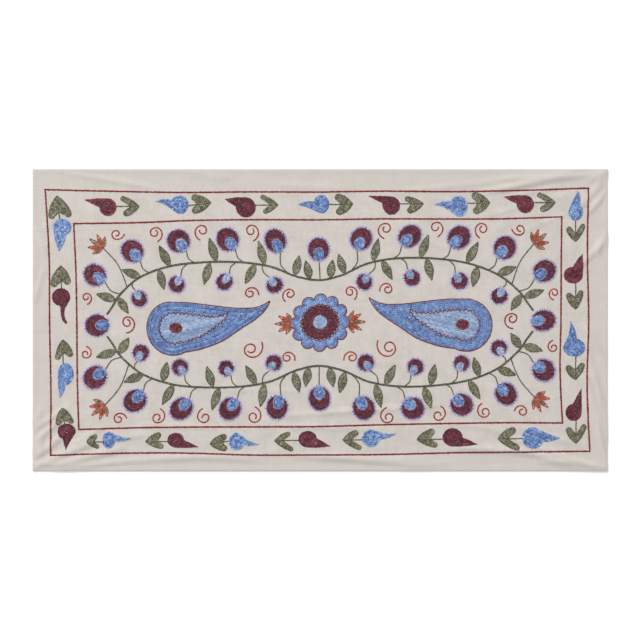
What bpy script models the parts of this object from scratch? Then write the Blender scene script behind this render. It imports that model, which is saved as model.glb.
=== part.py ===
# A suzani: a cotton cloth with a turned hem, lying flat on a surface, with silk chain-stitch
# embroidery raised on its face. X runs along the cloth, Y up the design and Z up from the
# surface. The origin is on the surface, under the middle of the cloth. Lengths are in metres.

import math
from collections import namedtuple

import bmesh
import bpy
from mathutils import Vector

# Driving dimensions
CLOTH_LENGTH = 1.270
CLOTH_WIDTH = 0.667
SHEET_THICKNESS = 0.0015
HEM_WIDTH = 0.009
HEM_THICKNESS = 0.0024
HEM_STEP = 0.0015
GAP = 0.0003

# Height of each kind of stitching over the gap. Each kind also starts at a level of its own,
# so that where two are fused no two faces lie in one plane.
Relief = namedtuple("Relief", "start height")
LINE_RELIEF = Relief(start=0.0, height=0.0007)
STEM_RELIEF = Relief(start=0.0, height=0.0008)
LEAF_RELIEF = Relief(start=0.00004, height=0.0009)
BUD_RELIEF = Relief(start=0.00008, height=0.0011)
DISC_RELIEF = Relief(start=0.0, height=0.0012)
CORE_RELIEF = Relief(start=0.00004, height=0.0016)
EYE_RELIEF = Relief(start=0.00006, height=0.0020)

# Difference in level between pads of one kind that meet
LEVEL_STEP = 0.00002

LINE_WIDTH = 0.0033
MAIN_STEM_WIDTH = 0.0046
SIDE_STEM_WIDTH = 0.0032
# How far a stem runs on inside the bud or leaf that it ends in
STEM_LAP = 0.004
# How far a stem stops short of a disc, so that its square end clears the round rim
STEM_STANDOFF = 0.0008

# Corners of the two red lines: top left, top right, bottom right, bottom left
OUTER_LINE = ((-0.607, 0.288), (0.593, 0.2915), (0.596, -0.290), (-0.595, -0.299))
INNER_LINE = ((-0.544, 0.213), (0.534, 0.228), (0.5355, -0.2275), (-0.533, -0.242))
# How far the hand-drawn lines stray from straight, at even steps on the way from each corner to
# the next: + outwards
OUTER_BOWS = (
    (-0.0040, -0.0070, -0.0062, -0.0070, -0.0055, -0.0070, -0.0048),
    (-0.0030, -0.0010, -0.0055),
    (0.0003, 0.0010, 0.0036, 0.0034, 0.0026, -0.0028, -0.0034),
    (-0.0035, -0.0035, -0.0055),
)
INNER_BOWS = (
    (0.0, 0.0034, 0.0030, 0.0008, 0.0010, -0.0010, -0.0026),
    (-0.0016, -0.0025, -0.0048),
    (-0.0023, -0.0023, -0.0014, 0.0005, -0.0004, -0.0020, -0.0022),
    (0.0004, -0.0013, -0.0022),
)
CORNER_GAP = 0.0005

# Soft creases in the plain margin, from one end to the other, width and height
Crease = namedtuple("Crease", "x1 y1 x2 y2 width height")
CREASES = (
    Crease(-0.640, -0.232, -0.600, -0.196, 0.040, 0.0028),
    Crease(-0.640, -0.300, -0.598, -0.262, 0.040, 0.0036),
    Crease(-0.640, -0.326, -0.560, -0.303, 0.030, 0.0030),
    Crease(-0.585, -0.332, -0.450, -0.305, 0.036, 0.0034),
    Crease(-0.640, 0.040, -0.612, 0.075, 0.036, 0.0018),
    Crease(0.400, 0.304, 0.560, 0.330, 0.040, 0.0030),
    Crease(0.640, 0.335, 0.598, 0.300, 0.044, 0.0038),
    Crease(0.640, 0.190, 0.600, 0.142, 0.044, 0.0030),
    Crease(0.600, -0.140, 0.636, -0.270, 0.040, 0.0026),
    Crease(0.480, -0.306, 0.640, -0.330, 0.040, 0.0036),
    Crease(0.180, -0.332, 0.290, -0.312, 0.036, 0.0016),
    Crease(-0.300, 0.331, -0.200, 0.312, 0.036, 0.0016),
)
# The cloth is flat up to this far outside the outer line, so that the stitching lies level
CREASE_CLEARANCE = 0.0125
CREASE_FADE = 0.010
# A crease rises and dies away over this share of its length at each end, half of it outside
CREASE_END = 0.3
# Bands of the cloth's grid, from its edge inwards: where each ends and how far apart its lines are
Band = namedtuple("Band", "depth pitch")
HEM_BANDS = (Band(HEM_WIDTH, HEM_WIDTH), Band(HEM_WIDTH + HEM_STEP, HEM_STEP), Band(0.045, 0.009))
BANDS_ALONG = (*HEM_BANDS, Band(0.245, 0.0165), Band(CLOTH_LENGTH / 2, 0.085))
BANDS_ACROSS = (*HEM_BANDS, Band(0.215, 0.0185), Band(CLOTH_WIDTH / 2, 0.050))

# Sprays of the border, on a middle line between the two red lines. tail and tip are the places
# along the side of the bud's tail and of the leaves' tip; turn is 1 where the bud's notch is on
# the right of the way from tail to tip, and -1 where it is on the left; pair names its leaves.
Side = namedtuple("Side", "along start end")
SIDES = {
    "top": Side("x", (-0.543, 0.2500), (0.535, 0.2600)),
    "bottom": Side("x", (-0.532, -0.2700), (0.537, -0.2610)),
    "left": Side("y", (-0.5640, -0.242), (-0.5745, 0.212)),
    "right": Side("y", (0.5655, -0.229), (0.5645, 0.228)),
}
# A bud, in shares of its spray's length. notch and end are places along the spray; tail, waist,
# left and right lie beside it, + on the left: the tail's tip, the notch and the body's two sides;
# bow is how far the long edge swells between the tail and the body.
Bud = namedtuple("Bud", "tail notch waist left right end bow")
Spray = namedtuple("Spray", "side tail tip thread turn bud pair")
SPRAYS = (
    Spray("top", -0.519, -0.398, "burgundy", 1,
          Bud(0.125, 0.26, -0.01, 0.147, -0.172, 0.572, 0.014), "open"),
    Spray("top", -0.364, -0.239, "blue", -1,
          Bud(0.084, 0.30, 0.11, 0.178, -0.14, 0.587, -0.03), "heart"),
    Spray("top", -0.210, -0.091, "burgundy", 1,
          Bud(0.116, 0.20, -0.02, 0.147, -0.225, 0.57, 0.016), "thin"),
    Spray("top", -0.049, 0.073, "blue", -1,
          Bud(0.006, 0.30, 0.056, 0.172, -0.156, 0.563, -0.01), "full"),
    Spray("top", 0.108, 0.230, "burgundy", 1,
          Bud(0.147, 0.24, 0.02, 0.135, -0.197, 0.563, 0.006), "low"),
    Spray("top", 0.252, 0.376, "blue", -1,
          Bud(-0.02, 0.31, 0.047, 0.13, -0.24, 0.594, -0.035), "full"),
    Spray("top", 0.406, 0.521, "burgundy", 1,
          Bud(0.116, 0.244, -0.016, 0.14, -0.20, 0.578, 0.014), "open"),
    Spray("bottom", -0.418, -0.517, "blue", -1,
          Bud(-0.069, 0.36, -0.02, 0.147, -0.228, 0.634, -0.02), "short"),
    Spray("bottom", -0.270, -0.387, "burgundy", 1,
          Bud(0.109, 0.26, -0.02, 0.115, -0.163, 0.572, 0.012), "low"),
    Spray("bottom", -0.135, -0.245, "blue", -1,
          Bud(0.072, 0.31, 0.085, 0.188, -0.163, 0.603, -0.03), "heart"),
    Spray("bottom", 0.022, -0.102, "burgundy", 1,
          Bud(0.109, 0.234, -0.03, 0.125, -0.166, 0.56, 0.014), "thin"),
    Spray("bottom", 0.168, 0.049, "blue", -1,
          Bud(-0.109, 0.31, 0.0, 0.134, -0.188, 0.63, -0.03), "open"),
    Spray("bottom", 0.347, 0.212, "burgundy", 1,
          Bud(0.088, 0.234, -0.02, 0.119, -0.178, 0.563, 0.014), "low"),
    Spray("bottom", 0.530, 0.391, "blue", -1,
          Bud(-0.006, 0.275, 0.053, 0.156, -0.178, 0.60, -0.015), "open"),
    Spray("left", 0.152, 0.276, "blue", 1,
          Bud(0.025, 0.30, -0.11, 0.125, -0.20, 0.572, 0.022), "wide"),
    Spray("left", -0.007, 0.121, "burgundy", -1,
          Bud(-0.094, 0.30, 0.012, 0.166, -0.147, 0.603, 0.0), "broad"),
    Spray("left", -0.172, -0.042, "blue", 1,
          Bud(0.072, 0.22, -0.03, 0.094, -0.172, 0.588, 0.012), "low"),
    Spray("left", -0.287, -0.192, "burgundy", -1,
          Bud(-0.016, 0.27, 0.047, 0.166, -0.25, 0.61, -0.012), "wide"),
    Spray("right", 0.285, 0.172, "blue", -1,
          Bud(0.053, 0.28, 0.09, 0.14, -0.14, 0.572, 0.014), "open"),
    Spray("right", 0.146, 0.022, "burgundy", 1,
          Bud(0.12, 0.23, -0.053, 0.125, -0.21, 0.525, 0.014), "low"),
    Spray("right", -0.002, -0.133, "blue", -1,
          Bud(-0.088, 0.31, 0.016, 0.156, -0.21, 0.60, -0.03), "short"),
    Spray("right", -0.152, -0.274, "burgundy", 1,
          Bud(0.10, 0.275, -0.053, 0.10, -0.188, 0.58, 0.004), "open"),
)
# The one bud with a thin, curled tail, as (side, number), with that tail's middle line and width.
# It tapers over the first few points of its line.
CURLED = ("left", 2)
CURL = ((0.0, -0.090), (0.030, -0.042), (0.075, -0.004), (0.150, 0.010), (0.240, 0.004), (0.340, -0.004))
CURL_WIDTH = 0.042
CURL_TAPER = 4
# The outer turn of the tail's short edge, as a share of the spray's length
TAIL_SWELL = {"blue": 0.024, "burgundy": 0.008}
BUD_ARC_STEPS = 9
NOTCH_ARC_STEPS = 3

# The pair of leaves at a spray's end, in shares of its length: where they part, and the middle
# and radius of the round end of each. tip is how far their tip lies beside the middle line.
Lobe = namedtuple("Lobe", "run side radius")
Pair = namedtuple("Pair", "fork left right tip")
PAIRS = {
    "open": Pair(0.840, Lobe(0.690, 0.142, 0.045), Lobe(0.755, -0.125, 0.055), 0.0),
    "thin": Pair(0.850, Lobe(0.700, 0.152, 0.041), Lobe(0.750, -0.115, 0.042), 0.0),
    "full": Pair(0.785, Lobe(0.737, 0.128, 0.064), Lobe(0.755, -0.130, 0.061), 0.0),
    "heart": Pair(0.740, Lobe(0.700, 0.145, 0.058), Lobe(0.710, -0.080, 0.061), 0.050),
    "low": Pair(0.770, Lobe(0.696, 0.090, 0.045), Lobe(0.748, -0.118, 0.054), 0.0),
    "wide": Pair(0.690, Lobe(0.645, 0.140, 0.064), Lobe(0.668, -0.150, 0.061), 0.040),
    "broad": Pair(0.725, Lobe(0.690, 0.126, 0.064), Lobe(0.725, -0.102, 0.060), 0.0),
    "short": Pair(0.820, Lobe(0.755, 0.100, 0.046), Lobe(0.798, -0.120, 0.052), -0.015),
}
# From this share of its spray's length on, a stem leans towards the leaves' tip
STEM_LEAN = 0.5
# A leaf's outer flank: share of the way to the round end, and of that end's radius
FlankPoint = namedtuple("FlankPoint", "run half")
FLANK = (FlankPoint(0.30, 0.72), FlankPoint(0.65, 1.10))
LOBE_ARC_STEPS = 4
# The two leaves of a pair lap over each other by this much along their shared edge
LOBE_OVERLAP = 0.0035

# The field inside the inner line. Its design is drawn for the upper right quarter, about the
# middle of the field, and repeated in the other three.
FIELD_CENTRE = (-0.001, -0.0075)
FIELD_TILT = math.radians(0.75)
# A slow drift from the drawn place: how far, and the length over which it turns
DRIFT = 0.0026
DRIFT_REACH = 0.085
MAIN_STEM = (
    (0.0, 0.096),
    (0.052, 0.106),
    (0.108, 0.129),
    (0.175, 0.139),
    (0.255, 0.138),
    (0.330, 0.128),
    (0.395, 0.104),
    (0.440, 0.068),
    (0.460, 0.040),
    (0.4720, 0.0235),
)
MAIN_STEM_STEPS = 2
# Where each disc's and blossom's middle lies, and where its stem leaves the main stem
Flower = namedtuple("Flower", "x y from_x from_y")
DISCS = (
    Flower(0.097, 0.186, 0.070, 0.113),
    Flower(0.203, 0.188, 0.165, 0.138),
    Flower(0.309, 0.184, 0.272, 0.136),
    Flower(0.409, 0.163, 0.372, 0.114),
    Flower(0.496, 0.112, 0.440, 0.068),
)
DISC_RADIUS = 0.0275
DISC_LONG = 1.09
DISC_STEPS = 18
# The oval heart of a disc or blossom lies HEART_INSET from its rim on the stem's side
HEART_INSET = 0.0020
HEART_LONG = 0.0160
HEART_WIDE = 0.0122
HEART_STEPS = 10
BLOSSOMS = (
    Flower(0.100, 0.088, 0.128, 0.134),
    Flower(0.208, 0.096, 0.184, 0.139),
    Flower(0.312, 0.090, 0.288, 0.134),
    Flower(0.398, 0.058, 0.412, 0.092),
)
BLOSSOM_RADIUS = 0.0215
BLOSSOM_STEPS = 12
BLOSSOM_HEART_LONG = 0.0110
BLOSSOM_HEART_WIDE = 0.0086
BLOSSOM_HEART_STEPS = 8
# A side stem ends at this share of a blossom's radius, and this far inside a corner fan
BLOSSOM_LAP = 0.8
FAN_LAP = 0.006
SIDE_STEM_BEND = 0.17
# Leaves along the main stem: base, direction in degrees and length
Leaf = namedtuple("Leaf", "x y turn length")
LEAVES = (
    Leaf(0.022, 0.099, 78, 0.044),
    Leaf(0.056, 0.108, 104, 0.048),
    Leaf(0.122, 0.133, 76, 0.055),
    Leaf(0.142, 0.136, -64, 0.050),
    Leaf(0.226, 0.139, 72, 0.055),
    Leaf(0.240, 0.138, -76, 0.050),
    Leaf(0.326, 0.128, 62, 0.053),
    Leaf(0.350, 0.122, -102, 0.046),
    Leaf(0.392, 0.105, 22, 0.046),
    Leaf(0.446, 0.061, -122, 0.042),
    Leaf(0.450, 0.0545, 18, 0.048),
)
LEAF_WIDTH = 0.019
LEAF_STEPS = 5
LEAF_FULLNESS = 0.85
# A fan of pointed leaves in each corner, on a stem of its own
FAN = Flower(0.474, 0.171, 0.424, 0.083)
FAN_TURN = 38
FanLeaf = namedtuple("FanLeaf", "spread length")
FAN_LEAVES = (
    FanLeaf(-62, 0.030),
    FanLeaf(-31, 0.038),
    FanLeaf(0, 0.042),
    FanLeaf(31, 0.038),
    FanLeaf(62, 0.030),
)
FAN_LEAF_WIDTH = 0.0115
FAN_LEAF_STEPS = 4
END_DISC = Flower(0.494, 0.0, 0.400, 0.0)
MIDDLE_DISC = Flower(0.0, 0.166, 0.0, 0.0955)

ROSETTE_RADIUS = 0.066
ROSETTE_VALLEY = 0.056
ROSETTE_PETALS = 12
ROSETTE_STEPS = 6
ROSETTE_BULGE = 0.7
ROSETTE_CORE = 0.040

# The drop-shaped boteh figure: its tip, then its upper edge, round end and lower edge
BOTEH_TIP = (0.106, 0.056)
BOTEH_UPPER = ((0.138, 0.041), (0.180, 0.040), (0.232, 0.046), (0.285, 0.052))
BOTEH_BODY = (0.326, -0.006)
BOTEH_RADIUS = 0.059
BOTEH_LOWER = ((0.262, -0.052), (0.214, -0.036), (0.172, -0.010), (0.138, 0.012), (0.117, 0.033))
BOTEH_ARC = (96, -118)
BOTEH_ARC_STEPS = 10
BOTEH_STEPS = 2
BOTEH_EYE = (0.318, -0.004)
BOTEH_INNER_SHARE = 0.56

# Colours (linear) and roughness of the threads and the cloth
COLOURS = {
    "cloth": (0.62, 0.57, 0.52),
    "burgundy": (0.130, 0.022, 0.036),
    "blue": (0.130, 0.235, 0.520),
    "light_blue": (0.300, 0.430, 0.640),
    "olive": (0.130, 0.135, 0.068),
    "red": (0.300, 0.048, 0.034),
    "orange": (0.500, 0.110, 0.040),
}
CLOTH_ROUGHNESS = 0.92
THREAD_ROUGHNESS = 0.60


def clear_scene():
    for item in list(bpy.data.objects):
        bpy.data.objects.remove(item, do_unlink=True)


def make_materials():
    materials = {}
    for name, colour in COLOURS.items():
        material = bpy.data.materials.new(name)
        material.use_nodes = True
        shader = material.node_tree.nodes["Principled BSDF"]
        shader.inputs["Base Color"].default_value = (*colour, 1.0)
        shader.inputs["Roughness"].default_value = CLOTH_ROUGHNESS if name == "cloth" else THREAD_ROUGHNESS
        shader.inputs["Metallic"].default_value = 0.0
        materials[name] = material
    return materials


def add_object(name, mesh, material):
    item = bpy.data.objects.new(name, mesh)
    bpy.context.scene.collection.objects.link(item)
    mesh.materials.append(material)
    return item


def ramp(value):
    # 0 to 1, smooth at both ends
    value = min(max(value, 0.0), 1.0)
    return value * value * (3.0 - 2.0 * value)


def distance_outside(x, y, corners):
    # How far a point lies outside a four-sided line, 0 or less inside it
    far = -1.0
    for (ax, ay), (bx, by) in zip(corners, corners[1:] + corners[:1]):
        length = math.hypot(bx - ax, by - ay)
        # The corners run clockwise, so the outside is on the left of each side
        far = max(far, ((bx - ax) * (y - ay) - (by - ay) * (x - ax)) / length)
    return far


def crease_lift(x, y):
    # How far the cloth is lifted off the surface by its creases
    margin = ramp((distance_outside(x, y, OUTER_LINE) - CREASE_CLEARANCE) / CREASE_FADE)
    if margin == 0.0:
        return 0.0
    lift = 0.0
    for crease in CREASES:
        along = Vector((crease.x2 - crease.x1, crease.y2 - crease.y1))
        length = along.length
        along /= length
        offset = Vector((x - crease.x1, y - crease.y1))
        run = offset.dot(along) / length
        across = abs(offset.x * along.y - offset.y * along.x) / (crease.width / 2.0)
        fade = ramp(run / CREASE_END + 0.5) * ramp((1.0 - run) / CREASE_END + 0.5)
        lift += crease.height * fade * (1.0 - ramp(across))
    return lift * margin


def grid_stops(size, bands):
    # Places of the grid's lines along one side, the same on both halves
    half = size / 2.0
    stops = {0.0, half, -half}
    start = 0.0
    for band in bands:
        count = max(1, round((band.depth - start) / band.pitch))
        for i in range(1, count + 1):
            stop = half - start - (band.depth - start) * i / count
            if stop > GAP:
                stops |= {stop, -stop}
        start = band.depth
    return sorted(stops)


def cloth_thickness(x, y):
    depth = min(CLOTH_LENGTH / 2 - abs(x), CLOTH_WIDTH / 2 - abs(y))
    return HEM_THICKNESS if depth < HEM_WIDTH + HEM_STEP / 2 else SHEET_THICKNESS


def make_cloth(materials):
    xs = grid_stops(CLOTH_LENGTH, BANDS_ALONG)
    ys = grid_stops(CLOTH_WIDTH, BANDS_ACROSS)
    mesh_edit = bmesh.new()
    top, bottom = {}, {}
    for i, x in enumerate(xs):
        for j, y in enumerate(ys):
            lift = crease_lift(x, y)
            bottom[i, j] = mesh_edit.verts.new((x, y, lift))
            top[i, j] = mesh_edit.verts.new((x, y, lift + cloth_thickness(x, y)))
    last_i, last_j = len(xs) - 1, len(ys) - 1
    for i in range(last_i):
        for j in range(last_j):
            mesh_edit.faces.new((top[i, j], top[i + 1, j], top[i + 1, j + 1], top[i, j + 1]))
            mesh_edit.faces.new((bottom[i, j], bottom[i, j + 1], bottom[i + 1, j + 1], bottom[i + 1, j]))
    rim = [(i, 0) for i in range(last_i)] + [(last_i, j) for j in range(last_j)]
    rim += [(i, last_j) for i in range(last_i, 0, -1)] + [(0, j) for j in range(last_j, 0, -1)]
    for here, there in zip(rim, rim[1:] + rim[:1]):
        mesh_edit.faces.new((bottom[here], bottom[there], top[there], top[here]))
    bmesh.ops.recalc_face_normals(mesh_edit, faces=mesh_edit.faces)
    mesh = bpy.data.meshes.new("cloth")
    mesh_edit.to_mesh(mesh)
    mesh_edit.free()
    mesh.shade_smooth()
    mesh.set_sharp_from_angle(angle=math.radians(40))
    return add_object("cloth", mesh, materials["cloth"])


def add_pad(mesh_edit, outline, relief):
    # One flat pad of stitching with the given outline, as a closed prism over the cloth
    low = SHEET_THICKNESS + GAP + relief.start
    high = SHEET_THICKNESS + GAP + relief.height
    bottom = [mesh_edit.verts.new((x, y, low)) for x, y in outline]
    face = mesh_edit.faces.new(bottom)
    made = bmesh.ops.extrude_face_region(mesh_edit, geom=[face])["geom"]
    for item in made:
        if isinstance(item, bmesh.types.BMVert):
            item.co.z = high


def pads_mesh(name, outlines, relief):
    mesh_edit = bmesh.new()
    for outline in outlines:
        add_pad(mesh_edit, outline, relief)
    bmesh.ops.recalc_face_normals(mesh_edit, faces=mesh_edit.faces)
    mesh = bpy.data.meshes.new(name)
    mesh_edit.to_mesh(mesh)
    mesh_edit.free()
    return mesh


def fuse(item, name, outlines, relief, material):
    # Joins more pads to an object, with a Boolean union and a wire guide that isn't a sub-part
    guide = add_object(name, pads_mesh(name, outlines, relief), material)
    guide.hide_render = True
    guide.display_type = "WIRE"
    union = item.modifiers.new(name, "BOOLEAN")
    union.operation = "UNION"
    union.solver = "EXACT"
    union.material_mode = "TRANSFER"
    union.object = guide


def smooth_path(points, steps):
    # A Catmull-Rom curve through the points
    ends = [points[0]] + list(points) + [points[-1]]
    path = []
    for a, b, c, d in zip(ends, ends[1:], ends[2:], ends[3:]):
        for k in range(steps):
            t = k / steps
            path.append(tuple(
                0.5 * (2 * b[n] + (c[n] - a[n]) * t + (2 * a[n] - 5 * b[n] + 4 * c[n] - d[n]) * t * t
                       + (3 * b[n] - a[n] - 3 * c[n] + d[n]) * t ** 3)
                for n in (0, 1)))
    return path + [tuple(points[-1])]


def ribbon(path, width, taper=0):
    # The outline of a stem or line of one width along a path, tapered over its first points
    left, right = [], []
    for i, point in enumerate(path):
        before, after = path[max(i - 1, 0)], path[min(i + 1, len(path) - 1)]
        along = Vector((after[0] - before[0], after[1] - before[1])).normalized()
        share = min(1.0, (i + 0.5) / taper) if taper else 1.0
        side = Vector((-along.y, along.x)) * share * width / 2.0
        left.append((point[0] + side.x, point[1] + side.y))
        right.append((point[0] - side.x, point[1] - side.y))
    return left + right[::-1]


def oval(centre, half_long, half_wide, turn, steps):
    outline = []
    for k in range(steps):
        angle = 2.0 * math.pi * k / steps
        u, v = half_long * math.cos(angle), half_wide * math.sin(angle)
        outline.append((centre[0] + u * math.cos(turn) - v * math.sin(turn),
                        centre[1] + u * math.sin(turn) + v * math.cos(turn)))
    return outline


def leaf_outline(base, turn, length, width, steps):
    # A pointed leaf, widest a little before its middle
    outline = []
    for side, order in ((1, range(steps + 1)), (-1, range(steps - 1, 0, -1))):
        for k in order:
            run = k / steps
            swell = math.sin(math.pi * run ** LEAF_FULLNESS) if 0 < k < steps else 0.0
            half = side * width / 2.0 * swell
            outline.append((base[0] + length * run * math.cos(turn) - half * math.sin(turn),
                            base[1] + length * run * math.sin(turn) + half * math.cos(turn)))
    return outline


def in_field(point, flip_x=1, flip_y=1):
    # A place in the field's own quarter, flipped and set on the cloth. A slow drift keeps the
    # four quarters from being exact copies, as in a design drawn by hand.
    x, y = point[0] * flip_x, point[1] * flip_y
    x, y = (x + DRIFT * math.sin((x + 1.3 * y) / DRIFT_REACH + 0.6),
            y + DRIFT * math.sin((y - 0.9 * x) / DRIFT_REACH + 2.1))
    return (FIELD_CENTRE[0] + x * math.cos(FIELD_TILT) - y * math.sin(FIELD_TILT),
            FIELD_CENTRE[1] + x * math.sin(FIELD_TILT) + y * math.cos(FIELD_TILT))


def side_stem(flower, reach, bend):
    # The stem from the main stem to a flower's rim, with a slight bow
    start = (flower.from_x, flower.from_y)
    turn = math.atan2(start[1] - flower.y, start[0] - flower.x)
    end = (flower.x + reach * math.cos(turn), flower.y + reach * math.sin(turn))
    middle = ((start[0] + end[0]) / 2.0 - bend * (end[1] - start[1]),
              (start[1] + end[1]) / 2.0 + bend * (end[0] - start[0]))
    return smooth_path([start, middle, end], 2)


def make_line(name, corners, bows, materials):
    # A stitched red line around the design, as four strips that stray a little from straight
    for number, ((ax, ay), (bx, by)) in enumerate(zip(corners, corners[1:] + corners[:1])):
        along = Vector((bx - ax, by - ay))
        inset = along.normalized() * (LINE_WIDTH / 2.0 + CORNER_GAP)
        side = Vector((-along.y, along.x)).normalized()
        # The long strips run over the corners, and the short ones stop at them
        start = Vector((ax, ay)) + (inset if number % 2 else -inset)
        end = Vector((bx, by)) - (inset if number % 2 else -inset)
        path = []
        for k, bow in enumerate((0.0, *bows[number], 0.0)):
            place = start.lerp(end, k / (len(bows[number]) + 1)) + side * bow
            path.append((place.x, place.y))
        mesh = pads_mesh(f"{name}_{number + 1}", [ribbon(path, LINE_WIDTH)], LINE_RELIEF)
        add_object(f"{name}_{number + 1}", mesh, materials["red"])


def bud_outline(bud, turn, swell):
    # A round body that runs on into a pointed tail, with a notch between them on one side. It is
    # drawn with the notch on the right, and turned over at the end if it is on the left.
    centre, reach = (bud.notch + bud.end) / 2.0, (bud.end - bud.notch) / 2.0
    left, right = (bud.left, bud.right) if turn > 0 else (-bud.right, -bud.left)
    middle, half = (left + right) / 2.0, (left - right) / 2.0
    tip, notch = (0.0, bud.tail * turn), (bud.notch, bud.waist * turn)
    # The long edge meets the body without a corner: where a straight edge would touch it, or
    # further round if the edge is bowed
    away = Vector((-centre / reach, (tip[1] - middle) / half))
    straight = math.sqrt(away.length_squared - 1.0) * reach
    touch = math.atan2(away.y, away.x) % (2.0 * math.pi) - math.acos(1.0 / away.length)
    touch -= 4.0 * bud.bow / straight
    body = []
    for k in range(BUD_ARC_STEPS + 1):
        angle = touch - (touch + math.pi / 2.0) * k / BUD_ARC_STEPS
        body.append((centre + reach * math.cos(angle), middle + half * math.sin(angle)))
    for k in range(1, NOTCH_ARC_STEPS + 1):
        angle = -math.pi / 2.0 * (1.0 + k / NOTCH_ARC_STEPS)
        body.append((centre + reach * math.cos(angle), notch[1] + (notch[1] - right) * math.sin(angle)))
    long_edge = [tip, ((tip[0] + body[0][0]) / 2.0, (tip[1] + body[0][1]) / 2.0 + bud.bow), body[0]]
    short_edge = [notch, (notch[0] / 2.0, (notch[1] + tip[1]) / 2.0 - swell), tip]
    outline = smooth_path(long_edge, 2)[:-1] + body + smooth_path(short_edge, 2)[1:-1]
    return [(u, v * turn) for u, v in outline]


def fork_of(pair):
    # Where the stem meets the leaves
    return pair.fork, pair.tip * (pair.fork - STEM_LEAN) / (1.0 - STEM_LEAN)


def lobe_outline(pair, flip):
    # One leaf of a pair, from the shared tip along its outer flank, around its end and back to
    # the fork
    lobe = pair.left if flip > 0 else pair.right
    tip = Vector((1.0 - LOBE_OVERLAP * (1 - flip), pair.tip - flip * LOBE_OVERLAP))
    fork = Vector(fork_of(pair)) - Vector((0.0, flip * LOBE_OVERLAP))
    end = Vector((lobe.run, lobe.side))
    back = (end - tip).normalized()
    outer = Vector((back.y, -back.x)) * flip
    points = [tip]
    for share, half in FLANK:
        points.append(tip.lerp(end, share) + outer * lobe.radius * half)
    for k in range(LOBE_ARC_STEPS + 1):
        angle = math.pi * k / LOBE_ARC_STEPS
        points.append(end + (outer * math.cos(angle) + back * math.sin(angle)) * lobe.radius)
    points.append(fork)
    return [(point.x, point.y) for point in points]


def on_side(side, place):
    # A point of the border band's middle line, at a place along that side
    axis = 0 if side.along == "x" else 1
    run = (place - side.start[axis]) / (side.end[axis] - side.start[axis])
    return Vector(side.start).lerp(Vector(side.end), run)


def make_spray(number, spray, materials):
    side = SIDES[spray.side]
    tail, tip = on_side(side, spray.tail), on_side(side, spray.tip)
    along = tip - tail

    def place(points):
        return [(tail.x + u * along.x - v * along.y, tail.y + u * along.y + v * along.x) for u, v in points]

    bud, pair = spray.bud, PAIRS[spray.pair]
    lap = STEM_LAP / along.length
    fork_run, fork_side = fork_of(pair)
    stem = ribbon([(bud.end - lap, 0.0), (fork_run + lap, fork_side)], SIDE_STEM_WIDTH / along.length)
    name = f"spray_{spray.side}_{number}"
    item = add_object(name, pads_mesh(name, [place(stem)], STEM_RELIEF), materials["olive"])
    if (spray.side, number) == CURLED:
        # A plain oval body, and the tail as a strip of its own
        centre = ((bud.notch + bud.end) / 2.0, (bud.left + bud.right) / 2.0)
        outline = oval(centre, (bud.end - bud.notch) / 2.0, (bud.left - bud.right) / 2.0, 0.0, DISC_STEPS)
        tail_relief = Relief(BUD_RELIEF.start + LEVEL_STEP, BUD_RELIEF.height - LEVEL_STEP)
        strip = ribbon(smooth_path(CURL, 2), CURL_WIDTH, CURL_TAPER)
        fuse(item, f"{name}_tail", [place(strip)], tail_relief, materials[spray.thread])
    else:
        outline = bud_outline(bud, spray.turn, TAIL_SWELL[spray.thread])
    fuse(item, f"{name}_bud", [place(outline)], BUD_RELIEF, materials[spray.thread])
    for label, flip in (("a", 1), ("b", -1)):
        relief = Relief(LEAF_RELIEF.start + flip * LEVEL_STEP, LEAF_RELIEF.height + flip * LEVEL_STEP)
        fuse(item, f"{name}_leaf_{label}", [place(lobe_outline(pair, flip))], relief, materials["olive"])


def make_border(materials):
    counts = dict.fromkeys(SIDES, 0)
    for spray in SPRAYS:
        counts[spray.side] += 1
        make_spray(counts[spray.side], spray, materials)


def heart_outline(flower, reach, half_long, half_wide, steps):
    # The oval heart of a flower, close to its rim on the stem's side
    turn = math.atan2(flower.from_y - flower.y, flower.from_x - flower.x)
    inner = reach - half_long - HEART_INSET
    centre = (flower.x + inner * math.cos(turn), flower.y + inner * math.sin(turn))
    return oval(centre, half_long, half_wide, turn, steps)


def make_disc(name, flower, flip_x, flip_y, materials):
    turn = math.atan2(flower.from_y - flower.y, flower.from_x - flower.x)
    reach = DISC_RADIUS * DISC_LONG
    outline = oval((flower.x, flower.y), reach, DISC_RADIUS, turn, DISC_STEPS)
    mesh = pads_mesh(name, [[in_field(p, flip_x, flip_y) for p in outline]], DISC_RELIEF)
    item = add_object(name, mesh, materials["burgundy"])
    heart = heart_outline(flower, reach, HEART_LONG, HEART_WIDE, HEART_STEPS)
    heart = [in_field(p, flip_x, flip_y) for p in heart]
    fuse(item, f"{name}_heart", [heart], CORE_RELIEF, materials["blue"])


def make_discs(materials):
    for flip_y, row in ((1, "upper"), (-1, "lower")):
        for flip_x, half in ((-1, "left"), (1, "right")):
            for number, flower in enumerate(DISCS, 1):
                make_disc(f"disc_{row}_{half}_{number}", flower, flip_x, flip_y, materials)
        make_disc(f"disc_{row}_middle", MIDDLE_DISC, 1, flip_y, materials)
    for flip_x, half in ((-1, "left"), (1, "right")):
        make_disc(f"disc_end_{half}", END_DISC, flip_x, 1, materials)


def fuse_fan(item, name, base, turn, place, materials):
    # A fan of pointed leaves on both halves, orange and olive by turns
    for number, leaf in enumerate(FAN_LEAVES, 1):
        outline = leaf_outline(base, math.radians(turn + leaf.spread), leaf.length, FAN_LEAF_WIDTH,
                               FAN_LEAF_STEPS)
        relief = Relief(LEAF_RELIEF.start + LEVEL_STEP * number, LEAF_RELIEF.height + LEVEL_STEP * number)
        fuse(item, f"{name}_fan_{number}", [place(outline, -1), place(outline, 1)], relief,
             materials["olive" if number % 2 else "orange"])


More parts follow.
